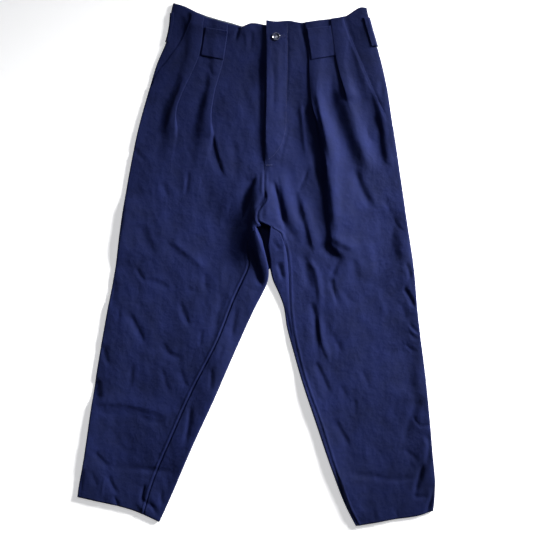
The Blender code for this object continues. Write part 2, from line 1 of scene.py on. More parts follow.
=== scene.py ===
"""Navy balloon trousers laid out flat on a white table, seen from straight above.

Sizes are in millimetres, in the frame's own axes: +Y towards the waist, +Z up. The cloth is laid panel by
panel on the same lines as the frame's solids, with many more creases, and each panel is a thin wall. Left and
right in the names are the wearer's.
"""

import math
from collections import namedtuple

import bmesh
import bpy
import numpy as np
from mathutils import Matrix, Vector, noise


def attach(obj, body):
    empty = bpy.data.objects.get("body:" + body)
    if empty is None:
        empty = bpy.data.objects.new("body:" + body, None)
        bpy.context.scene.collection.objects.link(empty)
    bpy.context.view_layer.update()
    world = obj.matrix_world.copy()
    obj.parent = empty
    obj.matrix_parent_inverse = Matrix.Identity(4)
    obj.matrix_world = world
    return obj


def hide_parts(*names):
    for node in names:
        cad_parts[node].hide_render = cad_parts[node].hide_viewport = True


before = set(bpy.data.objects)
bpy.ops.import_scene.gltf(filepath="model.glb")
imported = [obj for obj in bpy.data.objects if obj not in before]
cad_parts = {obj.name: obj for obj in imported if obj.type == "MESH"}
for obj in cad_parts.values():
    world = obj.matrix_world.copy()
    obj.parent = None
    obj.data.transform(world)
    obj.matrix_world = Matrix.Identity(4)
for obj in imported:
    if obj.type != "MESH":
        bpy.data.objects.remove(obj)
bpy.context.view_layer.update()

MM = 0.001
CLOTH = 1.0  # thickness of the walls
LOOP_CLOTH = 1.2
SEAM = 0.3
FLOOR_LAYER = CLOTH / 2
LOWEST_TOP = 1.5 * CLOTH + SEAM
USUAL_TOP = 6.5
BILLOW, BILLOW_ACROSS, BILLOW_ALONG = 0.9, 37, 61
SETTLING = 1.0  # how gently the cloth settles on its lowest height
MERGE = 0.01  # points nearer than this are one

# Heights along Y of what changes in the sections.
HEM = -470
NOTCH = -10
CROTCH_GUSSET = 64
CROTCH = 73
UNDER_CROTCH = CROTCH - 1  # below it a front ends at the inseam
FLY_END = 190
FLY_OPEN = FLY_END + 5  # above it the right front runs on under the fly
RIGHT_POCKET_END = 331
LEFT_POCKET_END = 262
WAIST = 466
ROW_STEP = 3.2
CROTCH_CROWDING = 1.3
GUSSET_ROWS = 5
HEM_SLANT_REACH = 130
CROTCH_RISE = 17  # how far the left leg's seam climbs to the crotch, around this x
CROTCH_RISE_X = 8
CROTCH_RISE_SPREAD = 22
CROTCH_RISE_REACH = 45
WAIST_CURVE_REACH = 150

SEAM_DIP_REACH = 1.9
SEAM_SWELL = 0.9
SEAM_SWELL_PLACE = 4.2
SEAM_SWELL_REACH = 2.4
SEWN_FADE = (FLY_END - 25, FLY_END - 5)
MOUTH_REACH = 2.4
MOUTH_FADE = 30
FACING_DIP_PLACE = 2.6
FACING_DIP_REACH = 1.8
# At a pocket's mouth the front's edge rolls down and the facing dips beside it.
RIGHT_MOUTH_DIP, RIGHT_FACING_DIP = 0.25, 0.3
LEFT_MOUTH_DIP, LEFT_FACING_DIP = 0.8, 0.7

FLY_UNDERLAP = 17
FLY_STEP = 1.8
FLY_STEP_FADE = (FLY_END - 18, FLY_END + 16)
FLY_LIFT = 2.8
FLY_LIFT_FADE = (FLY_END + 20, WAIST - 20)
FLY_LIFT_REACH = 24
UNDERLAP_FADE = (-22, 6)  # along X
POCKET_UNDERLAP = 13
POCKET_STEP = CLOTH + 2 * SEAM
POCKET_STEP_START = 20  # below the pocket's end
POCKET_STEP_FADE = (60, 120)  # outwards from the middle
EDGE_ROLL = 2.3
LEAST_STRIP = 1.6
RIDGE_GAP = 0.2
RIDGE_FADE = (-200, 0)
SEAT_GAP = -0.1  # the two backs are sewn together here

# The lines of the laid-out garment as (y, x), and its hem and waist edges as (x, y).
RIGHT_SIDE = [
    (-480, -342), (-442, -341), (-371, -329), (-280, -316), (-190, -302), (-98, -286), (-7, -269), (85, -257),
    (176, -242), (267, -223), (335, -204), (381, -190), (427, -171), (455, -165), (484, -162), (500, -158),
]
RIGHT_EDGE = [
    (-495, -187), (-440, -162), (-349, -123), (-258, -81), (-166, -41), (-75, 1), (-52, 13), (-30, 21.8),
    (NOTCH, 23.3), (12, 19), (34, 13.5), (48, 10), (62, 4), (CROTCH, -1),
]
RIGHT_INSEAM = [
    (-485, -217), (-425, -201), (-322, -158.8), (-235, -119.8), (-147, -74.5), (-52, -36.5), (-27, -24.5),
    (-3, -14.5), (31, -16.5), (45, -15), (58, -8), (CROTCH, 5),
]
LEFT_SIDE = [
    (-485, 333), (-463, 337), (-417, 340), (-371, 336), (-280, 328), (-190, 319), (-98, 307), (-7, 299),
    (85, 286), (176, 273), (267, 259), (335, 248), (381, 238), (427, 225), (455, 217), (480, 211), (495, 208),
]
LEFT_EDGE = [
    (-500, 190), (-463, 171), (-394, 144), (-303, 113), (-212, 83), (-166, 70), (-121, 58), (-75, 50),
    (-52, 41), (-30, 31), (NOTCH, 26.3), (12, 24.5), (24, 22), (34, 20.8), (48, 22), (62, 23.5), (CROTCH, 25),
]
LEFT_INSEAM = [
    (-500, 194), (-463, 176), (-394, 150), (-303, 121), (-212, 89), (-166, 77), (-121, 68), (-75, 63),
    (-48, 62), (-1, 60), (32, 55), (49, 49), (CROTCH_GUSSET, 38), (CROTCH, 12),
]
CENTRE_SEAM = [
    (CROTCH, 9), (80, 4), (90, 2), (103, 5), (110, 10), (118, 16), (140, 15), (FLY_END, 15.5), (240, 17),
    (400, 19), (WAIST, 18),
]
CENTRE_BACK = [(NOTCH, 24.5), (WAIST, 18)]
RIGHT_POCKET = [
    (RIGHT_POCKET_END, -205), (RIGHT_POCKET_END + 8, -198), (357, -190), (389, -166), (423, -142),
    (445, -131), (WAIST, -121),
]
LEFT_POCKET = [
    (LEFT_POCKET_END, 255.5), (LEFT_POCKET_END + 8, 250), (302, 233), (340, 215.5), (385, 196.5), (450, 171),
    (WAIST, 166),
]
RIGHT_HEM = [(-341, -442), (-301, -451), (-240, -466), (-210, -478), (-187, -489)]
LEFT_HEM = [(191, -497), (216, -493), (261, -485), (307, -478), (337, -468)]
RIGHT_WAIST = [
    (-158, 497), (-134, 489), (-119, 480), (-73, 463), (-43, 455), (-28, 452), (-12, 458), (18, 455),
]
LEFT_WAIST = [(18, 463), (33, 461), (64, 462), (79, 459), (125, 464), (170, 472), (200, 488), (210, 486)]
RIGHT_BACK_WAIST = [(-158, 497), (-134, 491), (-119, 483), (-73, 467), (-43, 459), (-28, 454), (18, 451)]
LEFT_BACK_WAIST = [(18, 455), (125, 460), (170, 469), (200, 486), (210, 485)]
RIGHT_OUTER_PLEAT = [
    (-490, -292), (-300, -254), (-98, -208), (60, -182), (100, -175), (189, -164), (261, -156), (299, -152),
    (326, -142), (360, -126), (395, -111), (WAIST, -101),
]
RIGHT_INNER_PLEAT = [
    (-490, -240), (-262, -168), (-98, -132), (60, -120), (132, -113), (180, -103), (250, -88), (288, -87),
    (326, -81), (389, -64), (WAIST, -54),
]
LEFT_INNER_PLEAT = [
    (-490, 238), (-262, 180), (-98, 154), (30, 146), (85, 140), (123, 136), (166, 134), (199, 133.5),
    (233, 127), (269, 117), (288, 110), (328, 103), (392, 100), (WAIST, 92),
]
LEFT_OUTER_PLEAT = [
    (-490, 288), (-262, 252), (-98, 238), (60, 232), (132, 223), (180, 212), (218, 200), (265, 187),
    (316, 172), (370, 156.5), (398, 150.5), (WAIST, 141),
]

# How each pleat opens on its way down: the angle in degrees that its fold has turned through, the radius of
# its bends, the length of its hidden layer, and how far beyond the fold the cloth takes to come down again.
Opening = namedtuple("Opening", "y turn bend depth spread")
RIGHT_OUTER_OPENING = [
    (-60, 1, 60, 0.5, 26), (200, 3, 50, 0.5, 26),
    (222, 8, 28, 0.5, 25), (240, 20, 12, 1, 24),
    (252, 38, 5.5, 2, 23), (264, 68, 2.6, 3, 21),
    (276, 98, 1.6, 3, 19), (292, 128, 1.2, 3, 16),
    (322, 155, 0.9, 4, 12), (350, 172, 0.62, 6, 12),
    (390, 180, 0.62, 10, 14), (WAIST, 180, 0.62, 14, 14),
]
RIGHT_INNER_OPENING = [
    (-60, 1, 60, 0.5, 28), (180, 3, 50, 0.5, 28),
    (206, 9, 28, 0.5, 27), (226, 20, 13, 1, 26),
    (240, 38, 6.5, 2, 25), (252, 68, 3.2, 3, 24),
    (266, 98, 1.9, 3.5, 22), (280, 125, 1.5, 3.5, 18),
    (308, 150, 1.1, 4, 12), (340, 170, 0.8, 5, 9),
    (376, 180, 0.62, 8, 12), (WAIST, 180, 0.62, 14, 14),
]
LEFT_INNER_OPENING = [
    (-60, 1, 60, 0.5, 24), (4, 5, 28, 1, 22),
    (26, 18, 12, 2.5, 20), (50, 35, 6.5, 4, 18),
    (100, 43, 5, 4.5, 18), (150, 44, 5.5, 4.5, 20),
    (205, 48, 6.5, 5, 20), (240, 62, 5, 5, 20),
    (268, 86, 3.0, 5, 20), (286, 108, 1.9, 4.5, 19),
    (300, 134, 1.25, 4.5, 18), (310, 157, 0.85, 4.5, 16),
    (322, 171, 0.68, 5, 14), (350, 179, 0.62, 8, 13),
    (390, 180, 0.62, 13, 13), (WAIST, 180, 0.62, 14, 14),
]
LEFT_OUTER_OPENING = [
    (-60, 1, 60, 0.5, 26), (292, 2, 30, 0.5, 24),
    (308, 10, 10, 1, 22), (315, 34, 4, 1.5, 20),
    (320, 68, 2.3, 1.8, 18), (330, 106, 1.5, 2, 16),
    (344, 142, 0.95, 2, 15), (362, 172, 0.65, 3, 13),
    (384, 180, 0.62, 6, 12), (412, 180, 0.62, 12, 13),
    (WAIST, 180, 0.62, 14, 14),
]
ARC_STEPS = 5
SPAN_COLUMNS = (60, 24)
SPAN_CROWDING = (1.25, 1)  # above 1, the columns of a span crowd towards its inner end
FAN_REACH = 150
SIDE_COLUMNS = 38
FLOOR_SHARES = np.linspace(0, 1, 9)
STRIP_SHARES = np.linspace(0, 1, 15)
SIDE_ANGLES = np.radians([22, 40, 56, 73, 90])
FOLD_ANGLES = np.radians(np.linspace(-90, 90, 11))
FREE_EDGE_STEP = 0.4
FOLLOW_ROUNDS = 4
SEAT_STEP = 3.0

# How deep the fronts dip into their seams, as (y, depth).
RIGHT_SEAM_DIP = [
    (-490, 0.3), (-230, 0.35), (-150, 0.8), (-30, 1.1), (CROTCH, 0.6), (90, 0.3), (FLY_END, 0.3),
]
LEFT_SEAM_DIP = [
    (-490, 0.35), (-200, 0.3), (-110, 0.05), (20, 0.1), (55, 0.8), (CROTCH, 0.6), (90, 0.4), (FLY_END, 0.3),
]

# Hollows and ridges, each a curve through three points that fades at its ends. `lit` and `lee` are its half
# widths towards the waist or +X side and away from it, and `rise` is negative in a hollow.
Crease = namedtuple("Crease", "x0 y0 x1 y1 x2 y2 lit lee rise")
CREASES = [Crease(*row) for row in (
    # the crotch
    (28, 202, 9, 92, 28, 12, 36, 44, 10), (-31, 113, -58, 41, -31, -22, 18, 60, -5),
    (-16, 45, 1, -5, 10, -48, 4.8, 7.5, -5.6), (16, 168, -1, 75, 24, -60, 24, 14, 8),
    (-11, 83, 12, 24, 33, -47, 3.2, 19, 5.2), (33, 176, 47, 81, 61, -109, 3.2, 22, 3.2),
    (31, 162, 43, 115, 51, 69, 5.8, 5.9, -8), (47, 96, 58, 71, 83, 41, 6, 8, -1),
    (-1, 168, -14, 134, -31, 81, 3, 12, -5), (16, 138, 13, 123, -1, 100, 3.5, 4.5, -3),
    (26, 153, 22, 113, 18, 77, 12, 8, 3), (41, 199, 58, 113, 90, 47, 13, 12, 4),
    (12, 176, 10, 149, 10, 126, 2.5, 3, 0.9),
    # the right front
    (-32, 452, -35, 442, -42, 424, 2.4, 4, -3.4), (-9, 446, -10, 427, -12, 408, 3, 3.5, -1),
    (-22, 447, -20, 430, -18, 411, 3, 3, 0.8), (-90, 379, -86, 366, -83, 351, 2.5, 3, -1.3),
    (-149, 474, -142, 466, -132, 451, 4, 10, -1.6), (-138, 364, -162, 307, -180, 244, 4.6, 29, -3),
    (-28, 455, -26, 389, -31, 313, 34, 50, -3), (26, 436, 16, 303, 29, 164, 24, 7, 5),
    (-244, 142, -254, 69, -265, -7, 28, 6, 6), (-164, 487, -85, 449, 41, 457, 24, 12, 2.5),
    (-29, 351, -22, 322, -12, 284, 7, 8, -1.1), (3, 389, -1, 322, 3, 256, 5, 8, 0.9),
    (-100, 335, -115, 271, -126, 157, 9, 12, -1), (-85, 254, -76, 208, -58, 159, 3, 12, -3.4),
    (-48, 237, -39, 199, -41, 153, 7, 9, -1.5), (-130, 180, -132, 153, -138, 124, 4, 3, -1.6),
    (-168, 256, -183, 225, -202, 187, 9, 12, -1.6), (-181, 157, -174, 142, -168, 121, 6, 7, -1.2),
    (-235, 225, -225, 210, -210, 195, 4, 5, -1.4), (-242, 130, -252, 75, -261, 28, 9, 8, 0.9),
    (-81, 151, -100, 113, -115, 81, 10, 12, -0.8), (-35, 157, -58, 113, -81, 54, 14, 14, 1.6),
    # the right thigh and knee
    (-216, 81, -208, 47, -191, 12, 7, 10, -1.9), (-178, 47, -153, 28, -126, 5, 5, 12, -0.8),
    (-176, 54, -126, 16, -88, -18, 9, 6, 1.5), (-228, -3, -221, -20, -210, -33, 3, 4.5, -1.7),
    (-210, -31, -187, -35, -162, -50, 4, 7, -1.5), (-98, -14, -98, -31, -94, -52, 4, 6, -1.3),
    (-134, -45, -123, -50, -109, -50, 4, 5, -0.9), (-145, -67, -138, -94, -123, -123, 4, 6, -1.9),
    (-242, -92, -229, -117, -206, -161, 5, 8, -2.6), (-208, -109, -199, -136, -197, -166, 8, 7, 0.9),
    (-267, -26, -273, -54, -278, -83, 7, 5, -1.6), (-257, -75, -261, -92, -261, -113, 4, 5, -0.9),
    (-178, -143, -166, -168, -134, -178, 4, 8, -2), (-102, -121, -105, -138, -107, -159, 4, 6, -1.3),
    (-290, -151, -288, -174, -276, -197, 6, 5, -1.7), (-202, -155, -210, -185, -218, -219, 9, 9, 0.8),
    (-235, -185, -238, -210, -242, -238, 5, 6, -1.4), (-183, -193, -174, -219, -162, -261, 3.5, 5, -1.3),
    (-147, -197, -140, -216, -130, -238, 6, 8, -1.1), (-64, -41, -75, -105, -92, -166, 7, 8, -1.7),
    (-202, -67, -225, -79, -248, -94, 7, 8, 0.6), (-54, 28, -66, -14, -81, -60, 10, 12, 0.9),
    # the right shin and hem
    (-301, -212, -305, -240, -297, -261, 10, 26, -4.5), (-47, -115, -86, -257, -140, -463, 20, 40, 8.5),
    (-320, -242, -328, -333, -335, -447, 30, 8, 4), (-187, -181, -244, -314, -267, -447, 50, 40, -3.5),
    (-320, -267, -252, -265, -145, -294, 20, 6, 2.6), (-301, -278, -275, -284, -244, -282, 5, 7, -1),
    (-225, -284, -202, -297, -172, -297, 4, 7, -1.2), (-290, -303, -275, -322, -263, -345, 8, 9, -0.6),
    (-309, -352, -294, -373, -275, -387, 4, 7, -1.7), (-282, -386, -221, -390, -143, -397, 6, 4.5, -2.3),
    (-316, -390, -309, -408, -301, -425, 5, 6, -1.2), (-282, -398, -275, -419, -261, -440, 4, 5, -1.9),
    (-271, -440, -267, -449, -261, -463, 2.5, 3, -1.8), (-328, -383, -333, -409, -335, -440, 4, 4, -1.8),
    (-288, -398, -292, -421, -294, -444, 3, 3, 0.7), (-212, -417, -216, -432, -219, -447, 3, 4, -2.4),
    (-223, -440, -210, -453, -191, -465, 2.6, 3.5, -2.2), (-208, -447, -197, -461, -189, -480, 4, 3.5, -2),
    (-229, -449, -218, -463, -202, -476, 3, 3, 1.2), (-180, -427, -181, -444, -178, -459, 2.6, 3.5, -1.8),
    (-174, -398, -170, -413, -168, -428, 4, 5, -1), (-35, -79, -43, -109, -48, -151, 3.5, 5, -1.8),
    (-62, -151, -67, -166, -75, -181, 4, 4, -1), (-86, -193, -85, -216, -88, -242, 3, 4, -2.4),
    (-124, -261, -128, -303, -138, -347, 4, 4.5, -3), (-26, -39, -9, -47, 10, -52, 5, 5, -0.8),
    # the left front
    (81, 459, 88, 438, 96, 408, 3, 3.5, -1.3), (58, 461, 59, 389, 56, 290, 2.6, 2.8, -1.1),
    (43, 446, 41, 351, 45, 256, 7, 7, 1), (29, 389, 33, 341, 31, 275, 3.5, 4, -0.7),
    (64, 389, 81, 284, 64, 176, 28, 26, -3.5), (83, 316, 88, 265, 94, 199, 4, 5, 2.4),
    (104, 240, 111, 195, 123, 138, 6, 6, -3), (142, 373, 143, 335, 151, 297, 6, 8, -1.6),
    (132, 354, 161, 256, 199, 157, 14, 22, -5.5), (159, 354, 187, 259, 221, 161, 16, 14, 5),
    (208, 495, 231, 389, 256, 256, 14, 40, 7), (185, 191, 200, 145, 225, 104, 6, 12, -4.2),
    (235, 305, 246, 237, 256, 172, 14, 9, 2.8), (104, 370, 121, 284, 143, 180, 24, 3, 4.5),
    (45, 457, 159, 491, 311, 480, 14, 26, 5), (126, 227, 142, 132, 149, 50, 40, 6, 5),
    (212, 335, 227, 278, 235, 225, 7.5, 28, -4), (223, 290, 233, 233, 244, 183, 7, 26, -4),
    (250, 282, 259, 240, 265, 202, 5, 5, 1), (233, 351, 237, 335, 235, 316, 4, 5, -1),
    (244, 130, 250, 111, 256, 92, 5, 7, -1.2), (100, 187, 90, 161, 77, 132, 3.5, 4, -1.7),
    (64, 275, 54, 237, 43, 191, 4, 5, -1.1), (75, 142, 77, 111, 85, 73, 5, 7, -1.2),
    (181, 411, 189, 370, 200, 328, 5, 6, -0.8),
    # the left thigh
    (88, 28, 94, -10, 105, -52, 9, 8, -3), (83, 134, 98, 75, 113, 16, 13, 5, 4),
    (94, 5, 115, -22, 121, -102, 7, 5, 2.6), (100, -67, 113, -109, 115, -181, 5, 8, -3.2),
    (121, -90, 123, -140, 147, -197, 7, 4, 2.2), (109, -185, 123, -208, 140, -254, 5, 8, -2.2),
    (134, 45, 143, 28, 162, 12, 2.8, 14, -6), (155, 180, 164, 85, 181, -20, 20, 24, 4),
    (166, 20, 151, -3, 143, -29, 5, 6, -2.6), (142, -22, 147, -52, 161, -83, 5, 5, -2),
    (132, 62, 159, 41, 193, 28, 12, 5, 2.5), (178, 12, 189, -10, 185, -45, 6, 9, -1.6),
    (161, -45, 172, -60, 185, -79, 5, 5, -1.2), (140, -124, 151, -147, 164, -170, 6, 8, -1.3),
    (261, 111, 257, 47, 271, -14, 14, 44, -6), (276, 73, 303, -58, 320, -159, 15, 36, 8),
    (280, 5, 288, -10, 292, -33, 4, 5, -1.6), (278, -41, 290, -60, 305, -90, 3, 6, -2.6),
    (259, 92, 269, 73, 284, 60, 3, 4, -1), (273, -67, 280, -90, 286, -109, 6, 7, -1.6),
    (290, -109, 297, -121, 309, -130, 2.6, 3, -1.3), (288, -126, 297, -136, 309, -145, 2.6, 3, -1.2),
    (282, -149, 294, -161, 309, -168, 2.8, 3, -1.3), (286, -117, 297, -128, 309, -138, 2.6, 2.6, 0.8),
    (227, -48, 238, -75, 242, -102, 6, 7, 0.8), (208, 47, 219, 5, 219, -37, 10, 10, 0.7),
    (39, 5, 45, -12, 50, -33, 6, 4, -3), (29, 50, 37, 35, 47, 26, 4, 4, -1.3),
    (50, -67, 60, -109, 69, -155, 3, 4, -1.2),
    # the left shin and hem
    (288, -143, 290, -197, 282, -254, 14, 38, -4), (71, -185, 111, -314, 174, -455, 22, 6, 5),
    (318, -172, 328, -314, 326, -457, 12, 24, 3.5), (155, -387, 174, -447, 189, -501, 46, 4, 4),
    (313, -246, 295, -288, 273, -352, 7, 8, -2), (297, -284, 305, -301, 318, -309, 2.6, 3, -1.3),
    (311, -307, 322, -306, 335, -307, 2.6, 3, -1.4), (318, -318, 328, -349, 314, -394, 6, 5, -2.6),
    (318, -375, 309, -406, 299, -442, 5, 5, -3.8), (295, -440, 311, -442, 330, -440, 3.5, 4, -2),
    (339, -417, 332, -447, 320, -478, 3.5, 4.5, -3), (318, -326, 313, -356, 295, -383, 8, 8, 1.2),
    (278, -349, 294, -362, 313, -379, 4, 5, -1.1), (172, -400, 208, -402, 257, -411, 6, 4.5, -1.9),
    (235, -408, 269, -409, 311, -404, 5, 4, -1.3), (200, -199, 208, -218, 216, -244, 3.5, 5, -1.4),
    (159, -227, 164, -240, 174, -254, 4, 5, -1), (185, -254, 187, -271, 185, -292, 4, 5, -1.4),
    (147, -292, 161, -318, 181, -352, 5, 7, -1.9), (178, -371, 193, -368, 212, -375, 6, 7, -0.6),
    (235, -352, 238, -364, 242, -375, 4, 4, -0.7), (219, -457, 223, -474, 223, -487, 5, 5, -0.8),
    (265, -463, 267, -474, 271, -485, 4, 4, -0.8), (181, -470, 185, -482, 191, -493, 3, 4, -1.2),
    (246, -390, 257, -432, 254, -470, 12, 12, 0.6),
)]
CREASE_STEPS = 12
CREASE_END = 0.28  # the share of a crease over which it fades
CREASE_REACH = 3.0  # widths past which a crease is left out

# The cloth's own slight unevenness, as (length across, length along, height).
UNEVENNESS = [(46, 90, 1.8), (17, 34, 0.75), (7, 13, 0.25)]

RIGHT_LOOP = [(-97, 450), (-54, 443), (-63, 389), (-106, 397)]
LEFT_LOOP = [(95, 447), (141, 453), (151, 397), (104, 388)]
LOOP_BOW = 0.5
LOOP_EASE = 4  # the loop leaves the layers later than the cloth below it does
LOOP_ROWS, LOOP_COLUMNS = 28, 24
SIDE_LOOP_TOPS = (478, 468)
SIDE_LOOP_LENGTH = 55
SIDE_LOOPS_SHOWN = (3, 8)
SIDE_LOOP_ROWS = 24
SIDE_LOOP_SHARES = np.linspace(1, 0.15, 7)

# The button lies a little above the cloth, on its thread. Its profile runs from its foot to its middle, as
# (radius, height).
BUTTON_PLACE = (37, 432)
BUTTON_GAP = 0.3
BUTTON_PROFILE = [
    (0, 0), (6.2, 0), (7.3, 0.5), (7.6, 1.2), (7.3, 2.1), (6.7, 2.4), (6.0, 2.2), (5.1, 1.2), (3.4, 0.95),
    (1.7, 0.9), (0, 0.9),
]
BUTTON_SECTORS = 32
BUTTON_HOLE_RING = (1.7, 3.4)
BUTTON_HOLE_DEPTH = 0.7
BUTTON_HOLE_REACH = 0.6  # either side of the button's diagonals

# Rows of stitches on the left front, each along a curve through three points: two down the fly, the bar at
# its foot, and the buttonhole's sides and outer end. `across` stitches stand square to their row.
StitchRow = namedtuple("StitchRow", "x0 y0 x1 y1 x2 y2 pitch length across")
STITCH_ROWS = [StitchRow(*row) for row in (
    (58, 457, 58.7, 375, 56, 294, 3.2, 2.3, False),
    (56, 291, 49, 233, 20, 197, 3.2, 2.3, False),
    (18, 188, 24, 188, 29.5, 188, 0.9, 2.6, True),
    (42, 434.4, 48, 434.5, 54, 434.4, 1.0, 2.0, True),
    (42, 431.4, 48, 431.3, 54, 431.4, 1.0, 2.0, True),
    (54.6, 431.6, 55.3, 432.9, 54.6, 434.2, 1.1, 1.6, True),
)]
STITCH_RADIUS = 0.22
STITCH_SIDES = 6
BUTTON_THREAD_RADIUS = 0.4

FACING_DEPTH = 42
FACING_SPAN = (-110, -18)
FACING_ROWS, FACING_COLUMNS = 12, 40


def smooth_line(points):
    """A function that runs smoothly through the given (place, value) pairs."""
    places, values = np.array(sorted(points), float).T
    slopes = np.gradient(values, places)

    def at(place):
        place = np.clip(place, places[0], places[-1])
        i = np.clip(np.searchsorted(places, place) - 1, 0, len(places) - 2)
        gap = places[i + 1] - places[i]
        u = (place - places[i]) / gap
        ends = values[i] * (1 + 2 * u) * (1 - u) ** 2 + values[i + 1] * u**2 * (3 - 2 * u)
        return ends + gap * (slopes[i] * u * (1 - u) ** 2 - slopes[i + 1] * u**2 * (1 - u))

    return at


def fade(value, start, end):
    """0 at start, 1 at end, and smooth between them."""
    u = np.clip((value - start) / (end - start), 0, 1)
    return u * u * (3 - 2 * u)


def bell(away, reach):
    """1 where away is 0, falling to nearly nothing at twice the reach."""
    return np.exp(-((away / reach) ** 2))


Fold = namedtuple("Fold", "xs heights clear rise spread")
Pleat = namedtuple("Pleat", "line opening")
Half = namedtuple(
    "Half",
    "name out pocket_end side edge inseam pocket hem waist back_waist dip pleats loop mouth_dip facing_dip",
)


def make_half(name, out, pocket_end, lines, pleats, *rest):
    """A half of the garment from its tables. out is its direction from the middle along X."""
    pleats = [Pleat(smooth_line(line), [Opening(*row) for row in opening]) for line, opening in pleats]
    return Half(name, out, pocket_end, *map(smooth_line, lines), pleats, *rest)


RIGHT = make_half(
    "right", -1, RIGHT_POCKET_END,
    (
        RIGHT_SIDE, RIGHT_EDGE, RIGHT_INSEAM, RIGHT_POCKET, RIGHT_HEM, RIGHT_WAIST, RIGHT_BACK_WAIST,
        RIGHT_SEAM_DIP,
    ),
    ((RIGHT_INNER_PLEAT, RIGHT_INNER_OPENING), (RIGHT_OUTER_PLEAT, RIGHT_OUTER_OPENING)),
    RIGHT_LOOP, RIGHT_MOUTH_DIP, RIGHT_FACING_DIP,
)
LEFT = make_half(
    "left", 1, LEFT_POCKET_END,
    (
        LEFT_SIDE, LEFT_EDGE, LEFT_INSEAM, LEFT_POCKET, LEFT_HEM, LEFT_WAIST, LEFT_BACK_WAIST,
        LEFT_SEAM_DIP,
    ),
    ((LEFT_INNER_PLEAT, LEFT_INNER_OPENING), (LEFT_OUTER_PLEAT, LEFT_OUTER_OPENING)),
    LEFT_LOOP, LEFT_MOUTH_DIP, LEFT_FACING_DIP,
)
centre_seam = smooth_line(CENTRE_SEAM)
centre_back = smooth_line(CENTRE_BACK)


def crease_line(crease):
    """Points along a crease, as a parabola through its three points."""
    u = np.linspace(0, 1, CREASE_STEPS + 1)
    first, middle, last = (1 - u) * (1 - 2 * u), 4 * u * (1 - u), u * (2 * u - 1)
    line_x = first * crease.x0 + middle * crease.x1 + last * crease.x2
    line_y = first * crease.y0 + middle * crease.y1 + last * crease.y2
    return line_x, line_y


def add_crease(height, crease, x, y):
    """Adds one crease to the height of the cloth, only at the points it can reach."""
    line_x, line_y = crease_line(crease)
    reach = CREASE_REACH * max(crease.lit, crease.lee)
    close = (x > line_x.min() - reach) & (x < line_x.max() + reach)
    close &= (y > line_y.min() - reach) & (y < line_y.max() + reach)
    x, y = x[close], y[close]
    nearest, added = np.full(x.shape, np.inf), np.zeros(x.shape)
    for i in range(CREASE_STEPS):
        step_x, step_y = line_x[i + 1] - line_x[i], line_y[i + 1] - line_y[i]
        along = ((x - line_x[i]) * step_x + (y - line_y[i]) * step_y) / (step_x**2 + step_y**2)
        along = np.clip(along, 0, 1)
        off_x = x - line_x[i] - along * step_x
        off_y = y - line_y[i] - along * step_y
        away = np.hypot(off_x, off_y)
        width = np.where(step_x * off_y - step_y * off_x > 0, crease.lit, crease.lee)
        place = (i + along) / CREASE_STEPS
        along_it = fade(place, 0, CREASE_END) * fade(1 - place, 0, CREASE_END)
        added = np.where(away < nearest, crease.rise * along_it * bell(away, width), added)
        nearest = np.minimum(away, nearest)
    height[close] += added


def unevenness(x, y):
    """The cloth's slight unevenness, longer along the leg than across it."""
    height = np.zeros(x.shape)
    for across, along, rise in UNEVENNESS:
        waves = [noise.noise(Vector((a / across, b / along, rise))) for a, b in zip(x.ravel(), y.ravel())]
        height += rise * np.array(waves).reshape(x.shape)
    return height


def cloth_height(x, y):
    """Height of the middle surface of the top cloth, before any pleat is folded into it."""
    x, y = (np.array(grid, float) for grid in np.broadcast_arrays(x, y))
    height = USUAL_TOP + BILLOW * np.sin(x / BILLOW_ACROSS) * np.sin(y / BILLOW_ALONG) + unevenness(x, y)
    for crease in CREASES:
        add_crease(height, crease, x, y)
    above = height - LOWEST_TOP
    return LOWEST_TOP + 0.5 * (above + np.sqrt(above**2 + SETTLING))


def facing_height(half, x, y):
    """The pocket facing's middle surface, one layer under the front's."""
    from_mouth = half.out * (x - half.pocket(y))
    dip = half.facing_dip * bell(from_mouth - FACING_DIP_PLACE, FACING_DIP_REACH)
    return np.maximum(cloth_height(x, y) - POCKET_STEP - dip, LOWEST_TOP)


def seam_relief(half, x, y):
    """A front's edge dips into its inner seam and swells beside it, and rolls down at the pocket's mouth."""
    from_seam = half.out * (x - front_inner_end(half, y))
    sewn = 1 - fade(y, *SEWN_FADE)
    dip = half.dip(y) * bell(from_seam, SEAM_DIP_REACH)
    swell = SEAM_SWELL * bell(from_seam - SEAM_SWELL_PLACE, SEAM_SWELL_REACH)
    from_mouth = half.out * (half.pocket(y) - x)
    mouth = half.mouth_dip * bell(from_mouth, MOUTH_REACH)
    return (swell - dip) * sewn - mouth * fade(y, half.pocket_end, half.pocket_end + MOUTH_FADE)


def front_height(half, x, y):
    """The front's middle surface without its pleats' layers. The left front's fly lies over the right."""
    overlapped = fade(y, *FLY_STEP_FADE)
    if half is LEFT:
        lifted = FLY_LIFT * fade(y, *FLY_LIFT_FADE) * bell(x - centre_seam(y), FLY_LIFT_REACH)
        step = overlapped * FLY_STEP / 2 + lifted
    else:
        step = -overlapped * FLY_STEP / 2 * fade(x, *UNDERLAP_FADE)
    over_facing = POCKET_STEP * fade(half.out * x, *POCKET_STEP_FADE)
    lowest = LOWEST_TOP + np.where(y > half.pocket_end - POCKET_STEP_START, over_facing, 0)
    return np.maximum(cloth_height(x, y) + step + seam_relief(half, x, y), lowest)


